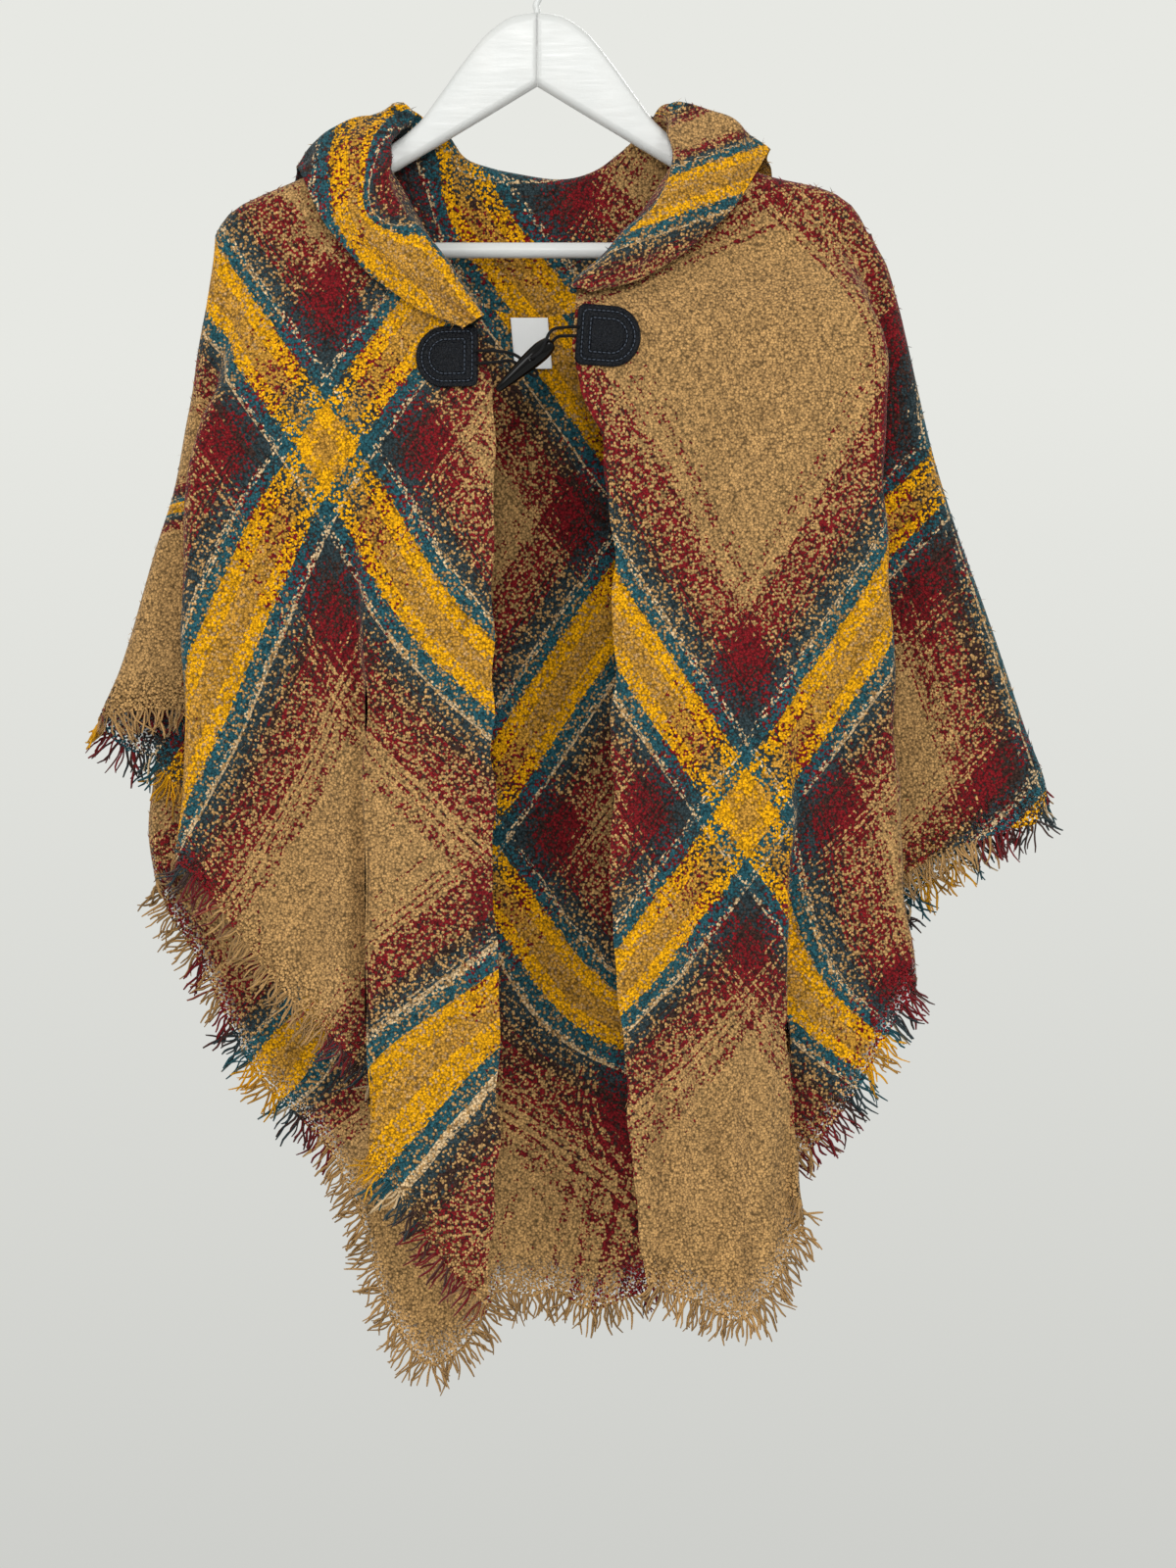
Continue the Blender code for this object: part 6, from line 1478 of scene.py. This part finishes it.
def horn_toggle(hole):
    """Polished horn, round at its thick end and drawn to a blunt point, with its cord hole."""
    at = np.concatenate((TOGGLE_CAP * np.linspace(0.0, 1.0, 8) ** 2,
                         np.linspace(TOGGLE_CAP, TOGGLE_LENGTH, 40)[1:]))
    radius = soft_line(*zip(*TOGGLE_ROWS), at)
    closing = np.minimum(at / HEAD_ROUND, (POINT_CLOSED - at) / POINT_ROUND)
    radius = radius * np.sqrt(np.clip(closing, 0.03, 1.0))
    points, faces, _ = closed_tube(toggle_axis(at / TOGGLE_LENGTH), radius, 36)
    thing = add_mesh("horn_toggle", points, faces, "horn", polished_horn("black_horn"), ["toggle"])
    bm = bmesh.new()
    bmesh.ops.create_cone(bm, cap_ends=True, segments=28, radius1=CORD_RADIUS + HOLE_ROOM,
                          radius2=CORD_RADIUS + HOLE_ROOM, depth=0.03)
    cutter = mesh_object("hole", bm)
    cutter.location = hole
    cutter.rotation_euler = (math.pi / 2.0, 0.0, 0.0)
    cut = thing.modifiers.new("hole", "BOOLEAN")
    cut.operation = "DIFFERENCE"
    cut.solver = "EXACT"
    cut.object = cutter
    bpy.context.view_layer.update()
    shaped = bpy.data.meshes.new_from_object(thing.evaluated_get(bpy.context.evaluated_depsgraph_get()))
    thing.modifiers.clear()
    thing.data = shaped
    bpy.data.objects.remove(cutter, do_unlink=True)


hole = toggle_axis(TOGGLE_HOLE)
horn_toggle(hole)

HOLE_CLEAR = 0.0092     # how far in front of and behind the hole the cord turns
CORD_GAP = 0.0004
CORD_FEEL = 0.0030      # how far about its end the cloth under a cord is felt for
CORD_UNDER = 0.003      # how far under its patch a cord goes
cord_look = braided_cord("black_elastic")
stem_y, loop_y = (front_y(face_tree(sheet.grid), panel, patch[0], z, CORD_FEEL) - CORD_RADIUS - CORD_GAP
                  for sheet, panel, patch, z in ((left, left_panel, PATCH_LEFT, -0.2880),
                                                 (right, right_panel, PATCH_RIGHT, -0.3045)))
stem_x, loop_x = PATCH_LEFT[0] + CORD_UNDER, -PATCH_RIGHT[0] - CORD_UNDER
hole_front, hole_back = hole[1] - HOLE_CLEAR, hole[1] + HOLE_CLEAR
CORD_LINES = {
    "stem_cord": ((stem_x, stem_y, -0.2850), (0.0190, -0.0765, -0.2865), (0.0100, -0.0835, -0.2895),
                  (hole[0] + 0.0060, hole_front, hole[2] + 0.0050), (hole[0], hole_front, hole[2]),
                  (hole[0], hole_back, hole[2]), (hole[0] + 0.0060, hole_back + 0.0005, hole[2] + 0.0035),
                  (0.0130, -0.0600, -0.2925), (0.0195, stem_y, -0.2912), (stem_x, stem_y, -0.2910)),
    "loop_cord": ((loop_x, loop_y, -0.3000), (-0.0270, -0.0585, -0.3010), (-0.0160, -0.0580, -0.3030),
                  (-0.0080, -0.0580, -0.3080), (-0.0010, -0.0590, -0.3140), (0.0006, -0.0595, -0.3160),
                  (-0.0004, -0.0598, -0.3180), (-0.0030, -0.0596, -0.3172), (-0.0110, -0.0585, -0.3110),
                  (-0.0180, -0.0585, -0.3075), (-0.0270, -0.0590, -0.3085), (loop_x, loop_y, -0.3090)),
}
for node, line in CORD_LINES.items():
    points, faces, places = closed_tube(spline(np.array(line), 90), CORD_RADIUS, 14)
    add_mesh(node + "_braid", points, faces, "elastic_cord", cord_look, [node], places)

LABEL_SIDES = (-0.0188, 0.0070)
LABEL_SLANT = 0.0030    # how far its lower edge is drawn to the left
LABEL_TOP = -0.2712
LABEL_LENGTH = 0.0350
LABEL_WALL = 0.0004
LABEL_ROOM = 0.0009     # room between the label and the back


def care_label():
    """Blank woven label hanging from the back neck seam."""
    down = np.linspace(0.0, 1.0, 36)[:, None]
    across = np.linspace(0.0, 1.0, 26)[None]
    x = lerp(*LABEL_SIDES, across) + LABEL_SLANT * down
    z = np.broadcast_to(LABEL_TOP - LABEL_LENGTH * down, x.shape)
    c = back_panel.column_at_top(x)
    y = np.min([back_panel.point(c + step, z)[0][..., 1] for step in (-0.01, 0.0, 0.01)], axis=0)
    y = lerp(y, y.min(axis=1, keepdims=True), 0.6)
    y = y - CLOTH - LABEL_ROOM - 0.0030 * down ** 1.5 - 0.0007 * np.sin(across * math.pi) * down
    grid = np.stack((x, y, z), axis=2)
    points, faces = thin_shell(grid, grid_normals(grid, (4, 4), -1.0), LABEL_WALL)
    add_mesh("blank_care_label", points, faces, "label_tape", woven_tape("white_tape"), ["care_label"])


care_label()

wood_look = painted_white("white_painted_wood", 0.36, (26.0, 300.0, 300.0))
wire_look = painted_white("white_coated_wire", 0.30, (160.0, 160.0, 60.0))


ARM_FINE = 0.19         # distance beyond which an arm's sections lie closer together
ARM_LAST = (0.2122, 0.2126)     # sections that round off its tip
ARM_CLOSED, ARM_CLOSING = 0.2130, 0.0012    # where the tip would close to nothing, and over which length


def hanger_arm(side):
    """One arm of the hanger: a rounded board that narrows to its tip."""
    first, last = ARM["q"][[0, -1]]
    q = np.concatenate((np.linspace(first, ARM_FINE, 60), np.linspace(ARM_FINE, last, 16)[1:], ARM_LAST))
    top, bottom, depth = (soft_line(ARM["q"], ARM[name], q) for name in ("top", "bottom", "depth"))
    shrink = np.where(q > last, (ARM_CLOSED - q) / ARM_CLOSING, 1.0)
    middle, height, half = 0.5 * (top + bottom), 0.5 * (top - bottom) * shrink, 0.5 * depth * shrink
    soft = np.minimum(np.minimum(ARM_ROUND, half * 0.94), height * 0.8)
    turns = np.radians(np.add.outer((0.0, 90.0, 180.0, 270.0), np.linspace(0.0, 90.0, 9))).ravel()
    sign_y, sign_z = np.repeat((1.0, -1.0, -1.0, 1.0), 9), np.repeat((1.0, 1.0, -1.0, -1.0), 9)
    y = sign_y * (half - soft)[:, None] + soft[:, None] * np.cos(turns)
    z = middle[:, None] + sign_z * (height - soft)[:, None] + soft[:, None] * np.sin(turns)
    rings = np.stack((np.broadcast_to(side * q[:, None], y.shape), y, z), axis=2)
    return rings.reshape(-1, 3), ring_faces(*rings.shape[:2], flip=side < 0.0)


for node, side in (("arm_right", -1.0), ("arm_left", 1.0)):
    add_mesh(node + "_wood", *hanger_arm(side), "white_wood", wood_look, [node])

bar_line = np.linspace((-BAR_HALF, 0.0, BAR_Z), (BAR_HALF, 0.0, BAR_Z), 60)
add_mesh("bar_dowel", *closed_tube(bar_line, BAR_RADIUS, 40)[:2], "white_wood", wood_look, ["bar"])

HOOK_ENDS = (-62.0, 173.0)      # ends of the bend, in degrees
STEM_ENDS = (APEX_Z - 0.022, APEX_Z + 0.010)    # straight stem, from inside the arms to above them
hook_turns = np.radians(np.linspace(*HOOK_ENDS, 80))
hook_reach = HOOK_BEND + HOOK_RADIUS
hook_line = np.concatenate((
    np.linspace(*((0.0, 0.0, z) for z in STEM_ENDS), 12),
    np.stack((hook_reach * np.cos(hook_turns), 0.0 * hook_turns,
              hook_reach * np.sin(hook_turns) - HOOK_BEND), axis=1)))
hook_line, hook_radii = domed(spline([*hook_line[::2], hook_line[-1]], 120), HOOK_RADIUS)
add_mesh("hook_wire", *closed_tube(hook_line, hook_radii, 20)[:2], "white_wire", wire_look, ["hook"])


FLOOR_Z = -1.62
FLOOR_RADIUS = 3.0


def pale_floor():
    """Plain pale round floor below the garment."""
    shade = Shade("pale_floor", Specular_IOR_Level=0.3)
    grain = shade.noise(shade.place(), 30.0, 3.0)
    look = shade.finish(grain, 0.0005, 0.2,
                        Base_Color=shade.mixed(grain, linear(222, 224, 225), linear(228, 230, 231)),
                        Roughness=shade.remap(grain, 0.3, 0.7, 0.75, 0.9))
    bm = bmesh.new()
    bmesh.ops.create_circle(bm, cap_ends=True, segments=128, radius=FLOOR_RADIUS)
    floor = mesh_object("floor", bm)
    floor.location = (0.0, 0.0, FLOOR_Z)
    floor.data.materials.append(look)


def pale_room():
    """World that is a little darker low down, as a plain lit wall is."""
    world = bpy.data.worlds.new("pale_room")
    world.use_nodes = True
    room = Nodes(world.node_tree)
    height = room.node("SeparateXYZ", {0: room.node("TexCoord").outputs["Generated"]}).outputs[2]
    colour = room.ramp(room.remap(height, -0.14, 0.07, 0.0, 1.0),
                       ((0.0, linear(205, 206, 202)), (1.0, linear(231, 232, 227))))
    room.tree.links.new(colour, room.tree.nodes["Background"].inputs[0])
    bpy.context.scene.world = world


pale_floor()
pale_room()
bpy.context.scene.view_settings.view_transform = "Standard"

# Soft lights: place, aim, size across and power in watts.
for name, place, aim, size, power in (("key", (1.5, -2.3, 1.4), (0.0, 0.0, -0.3), 1.0, 23.0),
                                      ("fill", (-1.9, -1.7, 0.5), (0.0, 0.0, -0.3), 1.2, 19.0),
                                      ("front", (0.0, -3.6, 0.45), (0.0, 0.0, -0.2), 0.7, 44.0),
                                      ("behind", (0.6, 2.4, 0.6), (0.0, 0.0, -0.5), 1.4, 24.0)):
    light = bpy.data.lights.new(name, "AREA")
    light.shape = "DISK"
    light.size = size
    light.energy = power
    thing = bpy.data.objects.new(name, light)
    thing.location = place
    thing.rotation_euler = (Vector(aim) - Vector(place)).to_track_quat("-Z", "Y").to_euler()
    bpy.context.scene.collection.objects.link(thing)

CAMERA_LENS = 134.2     # millimetres
CAMERA_AT = (0.0348, -4.0, -0.593)
camera = bpy.data.cameras.new("camera")
camera.lens = CAMERA_LENS
camera_place = bpy.data.objects.new("camera", camera)
camera_place.location = CAMERA_AT
camera_place.rotation_euler = (math.pi / 2.0, 0.0, 0.0)
bpy.context.scene.collection.objects.link(camera_place)
bpy.context.scene.camera = camera_place
